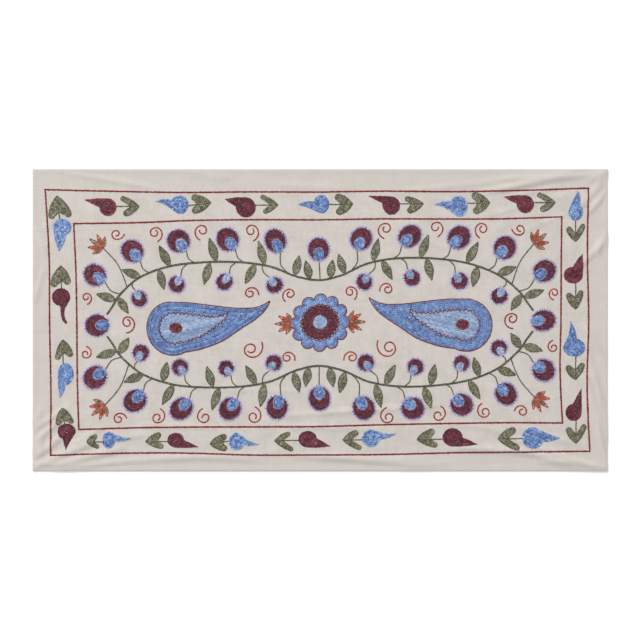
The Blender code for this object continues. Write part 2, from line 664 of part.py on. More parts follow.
def make_vine(row, flip_y, materials):
    # The main stem over both halves, with its side stems, leaves, corner fans and blossoms
    def place(points, flip_x):
        return [in_field(p, flip_x, flip_y) for p in points]

    right = smooth_path([(-MAIN_STEM[1][0], MAIN_STEM[1][1])] + list(MAIN_STEM), MAIN_STEM_STEPS)
    right = right[MAIN_STEM_STEPS:]
    whole = [(-x, y) for x, y in right[:0:-1]] + right
    name = f"vine_{row}"
    mesh = pads_mesh(name, [place(ribbon(whole, MAIN_STEM_WIDTH), 1)], STEM_RELIEF)
    item = add_object(name, mesh, materials["olive"])
    stems, leaves, blossoms, hearts = [], [], [], []
    disc_reach = DISC_RADIUS * DISC_LONG + STEM_STANDOFF
    for flip_x in (-1, 1):
        side_stems = [side_stem(flower, disc_reach, -SIDE_STEM_BEND) for flower in DISCS]
        blossom_reach = BLOSSOM_RADIUS * BLOSSOM_LAP
        side_stems += [side_stem(flower, blossom_reach, SIDE_STEM_BEND) for flower in BLOSSOMS]
        side_stems.append(side_stem(FAN, -FAN_LAP, SIDE_STEM_BEND / 2))
        stems += [place(ribbon(path, SIDE_STEM_WIDTH), flip_x) for path in side_stems]
        for leaf in LEAVES:
            outline = leaf_outline((leaf.x, leaf.y), math.radians(leaf.turn), leaf.length, LEAF_WIDTH,
                                   LEAF_STEPS)
            leaves.append(place(outline, flip_x))
        for flower in BLOSSOMS:
            whole = oval((flower.x, flower.y), BLOSSOM_RADIUS, BLOSSOM_RADIUS, 0.0, BLOSSOM_STEPS)
            blossoms.append(place(whole, flip_x))
            hearts.append(place(heart_outline(flower, BLOSSOM_RADIUS, BLOSSOM_HEART_LONG, BLOSSOM_HEART_WIDE,
                                              BLOSSOM_HEART_STEPS), flip_x))
    stems.append(place(ribbon(side_stem(MIDDLE_DISC, disc_reach, 0.0), SIDE_STEM_WIDTH), 1))
    side_relief = Relief(STEM_RELIEF.start + LEVEL_STEP, STEM_RELIEF.height - LEVEL_STEP)
    fuse(item, f"{name}_side_stems", stems, side_relief, materials["olive"])
    fuse(item, f"{name}_leaves", leaves, LEAF_RELIEF, materials["olive"])
    fuse(item, f"{name}_blossoms", blossoms, BUD_RELIEF, materials["burgundy"])
    fuse(item, f"{name}_hearts", hearts, CORE_RELIEF, materials["light_blue"])
    fuse_fan(item, name, (FAN.x, FAN.y), FAN_TURN, place, materials)


def boteh_outline():
    first, last = BOTEH_ARC
    arc = []
    for k in range(BOTEH_ARC_STEPS + 1):
        angle = math.radians(first + (last - first) * k / BOTEH_ARC_STEPS)
        arc.append((BOTEH_BODY[0] + BOTEH_RADIUS * math.cos(angle),
                    BOTEH_BODY[1] + BOTEH_RADIUS * math.sin(angle)))
    upper = smooth_path([BOTEH_TIP, *BOTEH_UPPER, arc[0]], BOTEH_STEPS)
    lower = smooth_path([arc[-1], *BOTEH_LOWER, BOTEH_TIP], BOTEH_STEPS)
    return upper + arc[1:-1] + lower[:-1]


def make_botehs(materials):
    # A smaller figure of the same form lies inside each, with a small oval in its round end
    whole = boteh_outline()
    inner = [(BOTEH_EYE[0] + (x - BOTEH_EYE[0]) * BOTEH_INNER_SHARE,
              BOTEH_EYE[1] + (y - BOTEH_EYE[1]) * BOTEH_INNER_SHARE) for x, y in whole]
    eye = oval(BOTEH_EYE, HEART_LONG, HEART_WIDE, 0.0, HEART_STEPS)
    for flip_x, half in ((-1, "left"), (1, "right")):
        name = f"boteh_{half}"
        item = add_object(name, pads_mesh(name, [[in_field(p, flip_x) for p in whole]], DISC_RELIEF),
                          materials["blue"])
        fuse(item, f"{name}_inner", [[in_field(p, flip_x) for p in inner]], CORE_RELIEF,
             materials["light_blue"])
        fuse(item, f"{name}_eye", [[in_field(p, flip_x) for p in eye]], EYE_RELIEF, materials["burgundy"])


def make_rosette(materials):
    # A round flower with scalloped petals in the middle of the field, and a fan at each side
    outline = []
    steps = ROSETTE_PETALS * ROSETTE_STEPS
    for k in range(steps):
        angle = 2.0 * math.pi * k / steps
        bulge = abs(math.cos(angle * ROSETTE_PETALS / 2.0)) ** ROSETTE_BULGE
        radius = ROSETTE_VALLEY + (ROSETTE_RADIUS - ROSETTE_VALLEY) * bulge
        outline.append(in_field((radius * math.cos(angle), radius * math.sin(angle))))
    item = add_object("rosette", pads_mesh("rosette", [outline], DISC_RELIEF), materials["blue"])
    core = [in_field(p) for p in oval((0.0, 0.0), ROSETTE_CORE, ROSETTE_CORE, 0.0, DISC_STEPS)]
    fuse(item, "rosette_core", [core], CORE_RELIEF, materials["burgundy"])

    def place(points, flip_x):
        return [in_field(p, flip_x) for p in points]

    fuse_fan(item, "rosette", (ROSETTE_VALLEY, 0.0), 0, place, materials)


def main():
    clear_scene()
    materials = make_materials()
    make_cloth(materials)
    make_line("line_outer", OUTER_LINE, OUTER_BOWS, materials)
    make_line("line_inner", INNER_LINE, INNER_BOWS, materials)
    make_border(materials)
    make_vine("upper", 1, materials)
    make_vine("lower", -1, materials)
    make_discs(materials)
    make_botehs(materials)
    make_rosette(materials)


main()
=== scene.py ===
import math
from collections import namedtuple

import bpy
import numpy as np
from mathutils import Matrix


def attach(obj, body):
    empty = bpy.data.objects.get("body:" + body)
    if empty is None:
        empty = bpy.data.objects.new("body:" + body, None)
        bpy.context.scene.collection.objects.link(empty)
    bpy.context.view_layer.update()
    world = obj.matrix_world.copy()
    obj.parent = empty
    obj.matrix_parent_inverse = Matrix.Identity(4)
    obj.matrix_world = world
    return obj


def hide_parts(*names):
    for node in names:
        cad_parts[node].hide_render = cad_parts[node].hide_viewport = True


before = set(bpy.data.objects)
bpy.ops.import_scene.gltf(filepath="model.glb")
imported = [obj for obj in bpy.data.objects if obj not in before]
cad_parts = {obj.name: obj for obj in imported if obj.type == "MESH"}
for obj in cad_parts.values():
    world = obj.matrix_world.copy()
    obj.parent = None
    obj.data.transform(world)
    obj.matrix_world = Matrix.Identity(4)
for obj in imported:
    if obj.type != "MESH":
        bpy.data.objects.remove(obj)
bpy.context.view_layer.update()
rng = np.random.default_rng(41)

# The cloth lies in the XY plane with its embroidered face up. Lengths are in metres.
# Shapes are arrays of (x, y) points, and every closed one runs anticlockwise.


def deselectAll():
    bpy.ops.object.select_all(action="DESELECT")


def ramp(value):
    # 0 to 1, smooth at both ends
    value = np.clip(value, 0.0, 1.0)
    return value * value * (3.0 - 2.0 * value)


def srgb(red, green, blue):
    # A colour as a paint program gives it, made linear
    return tuple(((c / 255.0 + 0.055) / 1.055) ** 2.4 for c in (red, green, blue)) + (1.0,)


def smoothPath(points, steps):
    # A Catmull-Rom curve through the points
    ends = [points[0], *points, points[-1]]
    path = []
    for a, b, c, d in zip(ends, ends[1:], ends[2:], ends[3:]):
        a, b, c, d = (np.array(p, dtype=float) for p in (a, b, c, d))
        for t in np.arange(steps) / steps:
            path.append(0.5 * (2 * b + (c - a) * t + (2 * a - 5 * b + 4 * c - d) * t * t
                               + (3 * b - a - 3 * c + d) * t ** 3))
    return np.array(path + [np.array(points[-1], dtype=float)])


def distances(points):
    # How far along a line each of its points lies
    return np.concatenate([[0.0], np.cumsum(np.hypot(*np.diff(points, axis=0).T))])


def pointsAt(at, run, points):
    # The points that lie at the given distances along a line
    return np.column_stack([np.interp(at, run, points[:, 0]), np.interp(at, run, points[:, 1])])


def evenly(points, step):
    # A closed line with its points an even distance apart
    points = np.vstack([points, points[:1]])
    run = distances(points)
    count = max(int(round(run[-1] / step)), 3)
    return pointsAt(np.linspace(0.0, run[-1], count + 1)[:-1], run, points)


def leftOf(along):
    # Unit steps to the left of each step of a line
    return np.column_stack([-along[:, 1], along[:, 0]]) / np.hypot(along[:, 0], along[:, 1])[:, None]


def turnedAbout(centre, u, v, turn):
    # Points u along and v across a line through the centre
    cos, sin = math.cos(turn), math.sin(turn)
    return np.column_stack([centre[0] + u * cos - v * sin, centre[1] + u * sin + v * cos])


def anticlockwise(points):
    points = np.asarray(points, dtype=float)
    after = np.roll(points, -1, axis=0)
    area = np.sum(points[:, 0] * after[:, 1] - after[:, 0] * points[:, 1])
    return points if area > 0 else points[::-1]


def isInside(points, outline):
    # Even-odd test of many points against one closed shape
    x, y = points[:, :1], points[:, 1:]
    ax, ay = outline[:, 0], outline[:, 1]
    bx, by = np.roll(ax, -1), np.roll(ay, -1)
    crosses = (ay > y) != (by > y)
    with np.errstate(divide="ignore", invalid="ignore"):
        where = ax + (y - ay) * (bx - ax) / (by - ay)
    return (np.sum(crosses & (x < where), axis=1) % 2) == 1


def oval(centre, halfLong, halfWide, turn, steps=60):
    angle = np.arange(steps) * 2.0 * math.pi / steps
    return turnedAbout(centre, halfLong * np.cos(angle), halfWide * np.sin(angle), turn)


def readSpots(mesh):
    # The places of a mesh's points, one row each
    spots = np.empty(len(mesh.vertices) * 3)
    mesh.vertices.foreach_get("co", spots)
    return spots.reshape(-1, 3)


cloth = {
    "length": 1.270,
    "width": 0.667,
    "thickness": 0.0015,
    "hemThickness": 0.0024,
    "hemFade": (0.0035, 0.0150),   # the turned edge thins out over this stretch
    "edgeRound": 0.0014,           # radius of the fold
    "edgeStops": (0.0, 0.0005, 0.0014, 0.0032, 0.0056, 0.0082, 0.0110, 0.0145),
    "gridPitch": 0.0048,
    "mergeGap": 0.00005,
    "rippleHeight": 0.00045,
    "edgeCalm": 0.02,              # low creases and ripples die away this near the edge
    "edgeCrease": 0.45,            # what is left of a margin crease at the edge
    "creaseClearance": 0.0125,     # margin creases start this far outside the outer line
    "creaseFade": 0.010,           # and come to their height over this stretch
    "creaseEnd": 0.3,              # share of a crease's length over which each end dies away
    "workedReach": 0.006,          # the stitching draws the cotton up to this far past the line
}
# The corners of the red lines: top left, top right, bottom right, bottom left
outerLine = np.array([(-0.607, 0.288), (0.593, 0.2915), (0.596, -0.290), (-0.595, -0.299)])
innerLine = np.array([(-0.544, 0.213), (0.534, 0.228), (0.5355, -0.2275), (-0.533, -0.242)])

# Creases from one end to the other: x1, y1, x2, y2, width, height. These lie in the plain margin.
marginCreases = (
    (-0.640, -0.232, -0.600, -0.196, 0.040, 0.0028),
    (-0.640, -0.300, -0.598, -0.262, 0.040, 0.0036),
    (-0.640, -0.326, -0.560, -0.303, 0.030, 0.0030),
    (-0.585, -0.332, -0.450, -0.305, 0.036, 0.0034),
    (-0.640, 0.040, -0.612, 0.075, 0.036, 0.0018),
    (0.400, 0.304, 0.560, 0.330, 0.040, 0.0030),
    (0.640, 0.335, 0.598, 0.300, 0.044, 0.0038),
    (0.640, 0.190, 0.600, 0.142, 0.044, 0.0030),
    (0.600, -0.140, 0.636, -0.270, 0.040, 0.0026),
    (0.480, -0.306, 0.640, -0.330, 0.040, 0.0036),
    (0.180, -0.332, 0.290, -0.312, 0.036, 0.0016),
    (-0.300, 0.331, -0.200, 0.312, 0.036, 0.0016),
)
# Low ones that run on under the stitching
lowCreases = (
    (-0.640, -0.246, -0.560, -0.196, 0.022, 0.0030),
    (-0.640, -0.276, -0.575, -0.222, 0.022, 0.0030),
    (-0.636, -0.310, -0.545, -0.236, 0.024, 0.0034),
    (-0.620, -0.320, -0.500, -0.268, 0.026, 0.0034),
    (-0.590, -0.322, -0.440, -0.284, 0.026, 0.0037),
    (-0.548, -0.276, -0.478, -0.236, 0.020, 0.0022),
    (-0.470, -0.268, -0.380, -0.252, 0.020, 0.0018),
    (-0.390, -0.232, -0.225, -0.238, 0.018, 0.0015),
    (-0.070, -0.236, 0.140, -0.240, 0.018, 0.0018),
    (-0.060, -0.300, 0.230, -0.308, 0.024, 0.0026),
    (-0.330, -0.306, -0.120, -0.298, 0.024, 0.0018),
    (0.290, -0.282, 0.450, -0.286, 0.024, 0.0026),
    (0.430, -0.284, 0.550, -0.318, 0.024, 0.0034),
    (0.300, -0.228, 0.410, -0.246, 0.018, 0.0018),
    (0.450, -0.239, 0.572, -0.276, 0.020, 0.0022),
    (0.000, -0.208, 0.192, -0.197, 0.018, 0.0018),
    (-0.232, -0.152, -0.050, -0.158, 0.016, 0.0013),
    (0.066, -0.095, 0.170, -0.096, 0.016, 0.0011),
    (0.222, -0.078, 0.232, -0.215, 0.016, 0.0011),
    (0.240, -0.100, 0.247, -0.205, 0.014, 0.0010),
    (0.588, -0.020, 0.640, -0.098, 0.024, 0.0034),
    (0.588, -0.130, 0.638, -0.312, 0.020, 0.0029),
    (0.560, -0.060, 0.612, -0.180, 0.026, 0.0018),
    (0.565, 0.112, 0.640, 0.184, 0.024, 0.0030),
    (0.592, 0.236, 0.640, 0.290, 0.022, 0.0034),
    (0.560, 0.236, 0.622, 0.300, 0.024, 0.0022),
    (0.375, 0.286, 0.560, 0.326, 0.024, 0.0031),
    (0.430, 0.276, 0.530, 0.296, 0.018, 0.0018),
    (-0.100, 0.300, 0.060, 0.290, 0.024, 0.0013),
    (-0.570, 0.328, -0.370, 0.292, 0.018, 0.0020),
    (-0.610, 0.200, -0.560, 0.255, 0.026, 0.0015),
    (-0.642, 0.226, -0.602, 0.150, 0.024, 0.0030),
    (-0.638, 0.020, -0.612, 0.110, 0.020, 0.0019),
    (-0.486, -0.317, -0.284, -0.301, 0.022, 0.0025),
    (-0.284, -0.301, -0.130, -0.311, 0.020, 0.0018),
    (0.001, -0.302, 0.238, -0.323, 0.024, 0.0030),
    (0.404, -0.255, 0.640, -0.337, 0.020, 0.0030),
    (0.310, -0.281, 0.547, -0.305, 0.020, 0.0020),
    (0.586, -0.050, 0.609, -0.133, 0.020, 0.0022),
    (0.606, -0.125, 0.641, -0.222, 0.020, 0.0035),
    (0.588, -0.180, 0.641, -0.322, 0.018, 0.0032),
    (0.191, 0.285, 0.416, 0.309, 0.020, 0.0015),
    (0.404, 0.289, 0.624, 0.328, 0.020, 0.0028),
    (0.369, 0.230, 0.547, 0.277, 0.016, 0.0015),
    (0.428, 0.188, 0.535, 0.230, 0.014, 0.0013),
    (-0.083, -0.213, 0.072, -0.198, 0.016, 0.0018),
    (0.060, -0.199, 0.262, -0.188, 0.016, 0.0018),
    (-0.130, -0.115, 0.024, -0.127, 0.014, 0.0009),
)


def distanceOutside(x, y, corners):
    # How far a place lies outside a four-sided line, less than 0 within it
    far = np.full(np.shape(x), -1.0)
    for (ax, ay), (bx, by) in zip(corners, np.roll(corners, -1, axis=0)):
        cross = (bx - ax) * (y - ay) - (by - ay) * (x - ax)
        far = np.maximum(far, cross / math.hypot(bx - ax, by - ay))
    return far


def creases(x, y, table):
    lift = np.zeros(np.shape(x))
    end = cloth["creaseEnd"]
    for x1, y1, x2, y2, width, height in table:
        length = math.hypot(x2 - x1, y2 - y1)
        ux, uy = (x2 - x1) / length, (y2 - y1) / length
        run = ((x - x1) * ux + (y - y1) * uy) / length
        across = np.abs((x - x1) * uy - (y - y1) * ux) / (width / 2.0)
        fade = ramp(run / end + 0.5) * ramp((1.0 - run) / end + 0.5)
        lift += height * fade * (1.0 - ramp(across))
    return lift


def ripple(x, y):
    # Slow, low waves all over, as in cotton that has been folded and smoothed out by hand
    wave = (np.sin(41 * x + 23 * y + 1.1 + 1.4 * np.sin(17 * y))
            + np.sin(-19 * x + 67 * y + 0.4 + 1.1 * np.sin(13 * x))
            + 0.8 * np.sin(93 * x - 31 * y + 2.0 + 1.7 * np.sin(29 * y + 9 * x))
            + 0.7 * np.sin(38 * x + 118 * y + 2.9 + 1.3 * np.sin(21 * x)))
    return cloth["rippleHeight"] * (wave / 3.5 * 0.5 + 0.5)


def edgeDepth(x, y):
    return np.minimum(cloth["length"] / 2 - np.abs(x), cloth["width"] / 2 - np.abs(y))


def clothLift(x, y):
    margin = ramp((distanceOutside(x, y, outerLine) - cloth["creaseClearance"]) / cloth["creaseFade"])
    calm = ramp(edgeDepth(x, y) / cloth["edgeCalm"])
    # At the very edge the creases lie lower
    margin = margin * (cloth["edgeCrease"] + (1.0 - cloth["edgeCrease"]) * calm)
    low = creases(x, y, lowCreases) + ripple(x, y)
    return creases(x, y, marginCreases) * margin + low * calm


def clothThickness(x, y):
    first, last = cloth["hemFade"]
    inward = ramp((edgeDepth(x, y) - first) / (last - first))
    return cloth["hemThickness"] + (cloth["thickness"] - cloth["hemThickness"]) * inward


def newGroup(name, inputs, outputs):
    group = bpy.data.node_groups.new(name, "ShaderNodeTree")
    for label, kind, value in inputs:
        group.interface.new_socket(label, in_out="INPUT", socket_type=kind).default_value = value
    for label, kind in outputs:
        group.interface.new_socket(label, in_out="OUTPUT", socket_type=kind)
    return group, group.nodes.new("NodeGroupInput"), group.nodes.new("NodeGroupOutput")


def feed(tree, socket, value):
    # Links a socket to another node's, or sets its value
    if isinstance(value, bpy.types.NodeSocket):
        tree.links.new(value, socket)
    else:
        socket.default_value = value


def addNode(tree, kind, sockets=(), **settings):
    node = tree.nodes.new(kind)
    for label, value in settings.items():
        setattr(node, label, value)
    for label, value in dict(sockets).items():
        feed(tree, node.inputs[label], value)
    return node


def mathNode(tree, operation, first, second=0.0):
    return addNode(tree, "ShaderNodeMath", {0: first, 1: second}, operation=operation).outputs[0]


def mixColours(tree, share, first, second):
    # The colour sockets of a Mix node are its inputs 6 and 7 and its output 2
    return addNode(tree, "ShaderNodeMix", {0: share, 6: first, 7: second}, data_type="RGBA").outputs[2]


def noiseNode(tree, place, scale, detail, **more):
    sockets = {"Vector": place, "Scale": scale, "Detail": detail, **more}
    return addNode(tree, "ShaderNodeTexNoise", sockets).outputs["Fac"]


def rangeNode(tree, value, first, last, low=0.0, high=1.0):
    sockets = {"Value": value, "From Min": first, "From Max": last, "To Min": low, "To Max": high}
    return addNode(tree, "ShaderNodeMapRange", sockets).outputs[0]


threadFinish = {
    "patchScale": 70.0,
    "patch": 0.1,          # how far the shade drifts from patch to patch
    "patchRough": 0.3,
    # The painted shade at the middle and the foot of each loop lowers the tone by this much
    "paintedShade": 0.72,        # how dark the hollow of a loop is
    "strandScale": 2600.0,
    "bump": 0.35,
    "bumpDepth": 0.0002,
    "roughness": 0.6,
    "specular": 0.35,
    "sheen": 0.12,
    "sheenRoughness": 0.4,
}


def makeThreadTone():
    # The colour of stitched thread: each stitch has its own shade, in slowly changing patches, with painted
    # shade darkening the middle and the foot of each loop
    grey, finish = (0.2, 0.2, 0.2, 1.0), threadFinish
    group, given, put = newGroup(
        "threadTone",
        (("Dark", "NodeSocketColor", grey), ("Middle", "NodeSocketColor", grey),
         ("Light", "NodeSocketColor", grey), ("Patch", "NodeSocketFloat", finish["patch"]),
         ("PaintedShade", "NodeSocketFloat", finish["paintedShade"]),
         ("Roughness", "NodeSocketFloat", finish["roughness"])),
        (("Color", "NodeSocketColor"), ("Roughness", "NodeSocketFloat"), ("Height", "NodeSocketFloat")))
    place = addNode(group, "ShaderNodeTexCoord").outputs["Object"]
    shade = addNode(group, "ShaderNodeAttribute", attribute_name="shade").outputs["Fac"]
    patch = mathNode(group, "SUBTRACT", noiseNode(group, place, finish["patchScale"], 2.0), 0.5)
    patch = mathNode(group, "MULTIPLY", patch, given.outputs["Patch"])
    tone = mathNode(group, "ADD", shade, mathNode(group, "MULTIPLY", patch, 2.0))
    # Painted shade: the colour darkens at the middle and the foot of each loop, where the gaps between the
    # stitches are
    paintedShade = addNode(group, "ShaderNodeAttribute", attribute_name="paintedShade").outputs["Fac"]
    tone = mathNode(group, "SUBTRACT", tone, mathNode(group, "MULTIPLY", paintedShade, given.outputs["PaintedShade"]))
    low, high = rangeNode(group, tone, 0.0, 0.5), rangeNode(group, tone, 0.5, 1.0)
    colour = mixColours(group, low, given.outputs["Dark"], given.outputs["Middle"])
    colour = mixColours(group, high, colour, given.outputs["Light"])
    rough = mathNode(group, "MULTIPLY", patch, finish["patchRough"])
    feed(group, put.inputs["Color"], colour)
    feed(group, put.inputs["Roughness"], mathNode(group, "ADD", given.outputs["Roughness"], rough))
    feed(group, put.inputs["Height"], noiseNode(group, place, finish["strandScale"], 1.0))
    return group


cottonFinish = {
    "threads": 1500.0,             # to the metre
    "slubStretch": (9.0, 420.0),   # noise along and across a thick thread
    "cloudScale": 26.0,
    "cloudRoughness": 0.78,
    "fleckScale": 230.0,
    "fleckFrom": (0.74, 0.80),
    "fleckAmount": 0.5,
    "puckerScale": 120.0,
    # In the plain margin, and where it is worked and a little drawn up
    "amounts": {"Puckers": (0.5, 2.2), "Clouds": (0.25, 0.6), "Slubs": (0.2, 0.3)},
    "toneFrom": (0.3, 0.7),
    "dark": srgb(188, 181, 174),
    "light": srgb(216, 209, 203),
    "fleck": srgb(150, 138, 122),
    "bump": 0.5,
    "bumpDepth": 0.00025,
    "roughness": 0.92,
    "specular": 0.2,
    "sheen": 0.08,
}


def makePlainWeave():
    # Hand-woven cotton: over-and-under threads, thicker threads here and there, slow clouds, and
    # the fine puckers that stitching leaves
    finish = cottonFinish
    group, given, put = newGroup(
        "plainWeave",
        (("Threads per metre", "NodeSocketFloat", finish["threads"]), ("Slubs", "NodeSocketFloat", 0.5),
         ("Puckers", "NodeSocketFloat", 2.5), ("Clouds", "NodeSocketFloat", 1.0)),
        (("Tone", "NodeSocketFloat"), ("Fleck", "NodeSocketFloat"), ("Height", "NodeSocketFloat")))
    place = addNode(group, "ShaderNodeTexCoord").outputs["Object"]
    # A wave texture has 10 / pi waves to the metre at scale 1
    scale = mathNode(group, "MULTIPLY", given.outputs["Threads per metre"], math.pi / 10.0)
    waves = [addNode(group, "ShaderNodeTexWave",
                     {"Vector": place, "Scale": scale, "Distortion": 0.4, "Detail": 1.0},
                     wave_type="BANDS", bands_direction=axis).outputs["Fac"] for axis in ("X", "Y")]
    along, across = finish["slubStretch"]
    slubs = []
    for stretch in ((along, across, 1.0), (across, along, 1.0)):
        drawn = addNode(group, "ShaderNodeMapping", {"Vector": place, "Scale": stretch}).outputs[0]
        slubs.append(noiseNode(group, drawn, 1.0, 2.0))
    slub = mathNode(group, "MULTIPLY", mathNode(group, "ADD", *slubs), 0.5)
    slub = mathNode(group, "MULTIPLY", mathNode(group, "SUBTRACT", slub, 0.5), given.outputs["Slubs"])
    cloud = noiseNode(group, place, finish["cloudScale"], 7.0, Roughness=finish["cloudRoughness"])
    cloud = mathNode(group, "MULTIPLY", mathNode(group, "SUBTRACT", cloud, 0.5), given.outputs["Clouds"])
    pucker = noiseNode(group, place, finish["puckerScale"], 2.0, Distortion=0.6)
    pucker = mathNode(group, "MULTIPLY", pucker, given.outputs["Puckers"])
    fleck = rangeNode(group, noiseNode(group, place, finish["fleckScale"], 1.0), *finish["fleckFrom"])
    height = mathNode(group, "ADD", mathNode(group, "MULTIPLY", *waves), slub)
    feed(group, put.inputs["Tone"], mathNode(group, "ADD", mathNode(group, "ADD", cloud, slub), 0.5))
    feed(group, put.inputs["Fleck"], fleck)
    feed(group, put.inputs["Height"], mathNode(group, "ADD", height, pucker))
    return group


threadTone = makeThreadTone()
plainWeave = makePlainWeave()

# Dark, middle and light shade of each thread; the dark one is also the colour that the painted shade of the
# loops darkens towards
threads = {
    "burgundy": ((52, 17, 29), (122, 48, 66), (178, 98, 112)),
    "blue": ((50, 78, 136), (142, 172, 221), (204, 220, 242)),
    "lightBlue": ((100, 126, 172), (178, 196, 222), (218, 228, 240)),
    "olive": ((68, 70, 46), (138, 136, 106), (198, 194, 162)),
    "stem": ((58, 64, 44), (84, 88, 62), (118, 120, 92)),
    "red": ((98, 18, 14), (150, 34, 27), (184, 70, 54)),
    "brick": ((128, 34, 28), (168, 54, 44), (198, 92, 76)),
    "orange": ((140, 52, 34), (190, 84, 56), (216, 120, 88)),
    "violet": ((52, 28, 60), (80, 50, 94), (112, 84, 138)),
    "lavender": ((136, 127, 172), (182, 175, 206), (214, 209, 227)),
    "cream": ((190, 182, 170), (204, 197, 188), (216, 210, 202)),
}


def newMaterial(name, specular, sheen):
    material = bpy.data.materials.new(name)
    material.use_nodes = True
    shader = material.node_tree.nodes["Principled BSDF"]
    shader.inputs["Specular IOR Level"].default_value = specular
    shader.inputs["Sheen Weight"].default_value = sheen
    return material, material.node_tree, shader


def threadMaterial(name, shades):
    finish = threadFinish
    material, tree, shader = newMaterial(name + "Thread", finish["specular"], finish["sheen"])
    tone = addNode(tree, "ShaderNodeGroup", node_tree=threadTone)
    for label, shade in zip(("Dark", "Middle", "Light"), shades):
        tone.inputs[label].default_value = srgb(*shade)
    bump = addNode(tree, "ShaderNodeBump", {"Strength": finish["bump"], "Distance": finish["bumpDepth"],
                                            "Height": tone.outputs["Height"]})
    feed(tree, shader.inputs["Base Color"], tone.outputs["Color"])
    feed(tree, shader.inputs["Roughness"], tone.outputs["Roughness"])
    feed(tree, shader.inputs["Normal"], bump.outputs[0])
    shader.inputs["Sheen Roughness"].default_value = finish["sheenRoughness"]
    return material


def cottonMaterial():
    finish = cottonFinish
    material, tree, shader = newMaterial("cotton", finish["specular"], finish["sheen"])
    weave = addNode(tree, "ShaderNodeGroup", node_tree=plainWeave)
    worked = addNode(tree, "ShaderNodeAttribute", attribute_name="worked").outputs["Fac"]
    for label, (plain, drawn) in finish["amounts"].items():
        feed(tree, weave.inputs[label], rangeNode(tree, worked, 0.0, 1.0, plain, drawn))
    tone = rangeNode(tree, weave.outputs["Tone"], *finish["toneFrom"])
    colour = mixColours(tree, tone, finish["dark"], finish["light"])
    fleck = mathNode(tree, "MULTIPLY", weave.outputs["Fleck"], finish["fleckAmount"])
    bump = addNode(tree, "ShaderNodeBump", {"Strength": finish["bump"], "Distance": finish["bumpDepth"],
                                            "Height": weave.outputs["Height"]})
    feed(tree, shader.inputs["Base Color"], mixColours(tree, fleck, colour, finish["fleck"]))
    feed(tree, shader.inputs["Normal"], bump.outputs[0])
    shader.inputs["Roughness"].default_value = finish["roughness"]
    return material


threadMaterials = {name: threadMaterial(name, shades) for name, shades in threads.items()}
cotton = cottonMaterial()
print("materials made")


def gridStops(size):
    # Lines of the cloth's grid: close together over the rounded edge and the turned hem
    half, near = size / 2.0, np.array(cloth["edgeStops"])
    rest = size - 2.0 * near[-1]
    count = int(round(rest / cloth["gridPitch"]))
    middle = -half + near[-1] + rest * np.arange(1, count) / count
    return np.concatenate([-half + near, middle, half - near[::-1]])


gridX, gridY = gridStops(cloth["length"]), gridStops(cloth["width"])
gridTop = clothLift(*np.meshgrid(gridX, gridY)) + clothThickness(*np.meshgrid(gridX, gridY))


def topOfCloth(x, y):
    # The height of the cloth's face as its grid gives it, so that no stitch sinks into a hollow
    column = np.clip(np.searchsorted(gridX, x) - 1, 0, len(gridX) - 2)
    row = np.clip(np.searchsorted(gridY, y) - 1, 0, len(gridY) - 2)
    u = (x - gridX[column]) / (gridX[column + 1] - gridX[column])
    v = (y - gridY[row]) / (gridY[row + 1] - gridY[row])
    near = gridTop[row, column] * (1.0 - u) + gridTop[row, column + 1] * u
    far = gridTop[row + 1, column] * (1.0 - u) + gridTop[row + 1, column + 1] * u
    return near * (1.0 - v) + far * v


def makeCloth():
    xs, ys = gridX, gridY
    deselectAll()
    bpy.ops.mesh.primitive_grid_add(x_subdivisions=len(xs) - 1, y_subdivisions=len(ys) - 1, size=1.0)
    sheet = bpy.context.object
    sheet.name = "cloth_sheet"
    spots = readSpots(sheet.data)
    column = np.rint((spots[:, 0] + 0.5) * (len(xs) - 1)).astype(int)
    row = np.rint((spots[:, 1] + 0.5) * (len(ys) - 1)).astype(int)
    x, y = xs[column], ys[row]
    lift, thick = clothLift(x, y), clothThickness(x, y)
    # The folded edge is round: the face meets the back halfway down
    inFold = np.clip(edgeDepth(x, y) / cloth["edgeRound"], 0.0, 1.0)
    half = 0.5 * np.sqrt(np.clip(1.0 - (1.0 - inFold) ** 2, 0.0, 1.0))
    face, under = (np.column_stack([x, y, lift + thick * (0.5 + side * half)]) for side in (1, -1))
    sheet.data.vertices.foreach_set("co", face.ravel())

    # The back is a copy of the face, turned over and joined to it along the folded edge
    bpy.ops.object.duplicate()
    back = bpy.context.object
    back.data.vertices.foreach_set("co", under.ravel())
    bpy.ops.object.mode_set(mode="EDIT")
    bpy.ops.mesh.select_all(action="SELECT")
    bpy.ops.mesh.flip_normals()
    bpy.ops.object.mode_set(mode="OBJECT")
    sheet.select_set(True)
    bpy.context.view_layer.objects.active = sheet
    bpy.ops.object.join()
    bpy.ops.object.mode_set(mode="EDIT")
    bpy.ops.mesh.select_all(action="SELECT")
    bpy.ops.mesh.remove_doubles(threshold=cloth["mergeGap"])
    bpy.ops.object.mode_set(mode="OBJECT")
    bpy.ops.object.shade_smooth()
    spots, reach = readSpots(sheet.data), cloth["workedReach"]
    outside = distanceOutside(spots[:, 0], spots[:, 1], outerLine)
    worked = sheet.data.attributes.new("worked", "FLOAT", "POINT")
    worked.data.foreach_set("value", 1.0 - ramp((outside + reach) / (2.0 * reach)))
    sheet.data.materials.clear()
    sheet.data.materials.append(cotton)
    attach(sheet, "root")
    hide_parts("cloth")
    return sheet


clothSheet = makeCloth()
print("cloth laid:", len(clothSheet.data.polygons), "faces")

stitchShape = {
    "sides": 8,
    "ridge": (0.76, 0.66, 1.0),    # the ridge of the loop against its foot
    "inset": 0.2,                  # from the ridge towards the loop's middle
    "dimple": (0.06, 0.0, -0.50),  # where the middle lies from the ridge's level
    # Points below this height carry painted shade
    "rimFrom": 0.9,                # all below this height is in the hollow's shade
    "tailFrom": (0.3, 0.8),        # the tail starts here and narrows over this length
    "tailWidth": 0.72,             # it comes out of the loop before
    "tailHeight": 0.55,
}


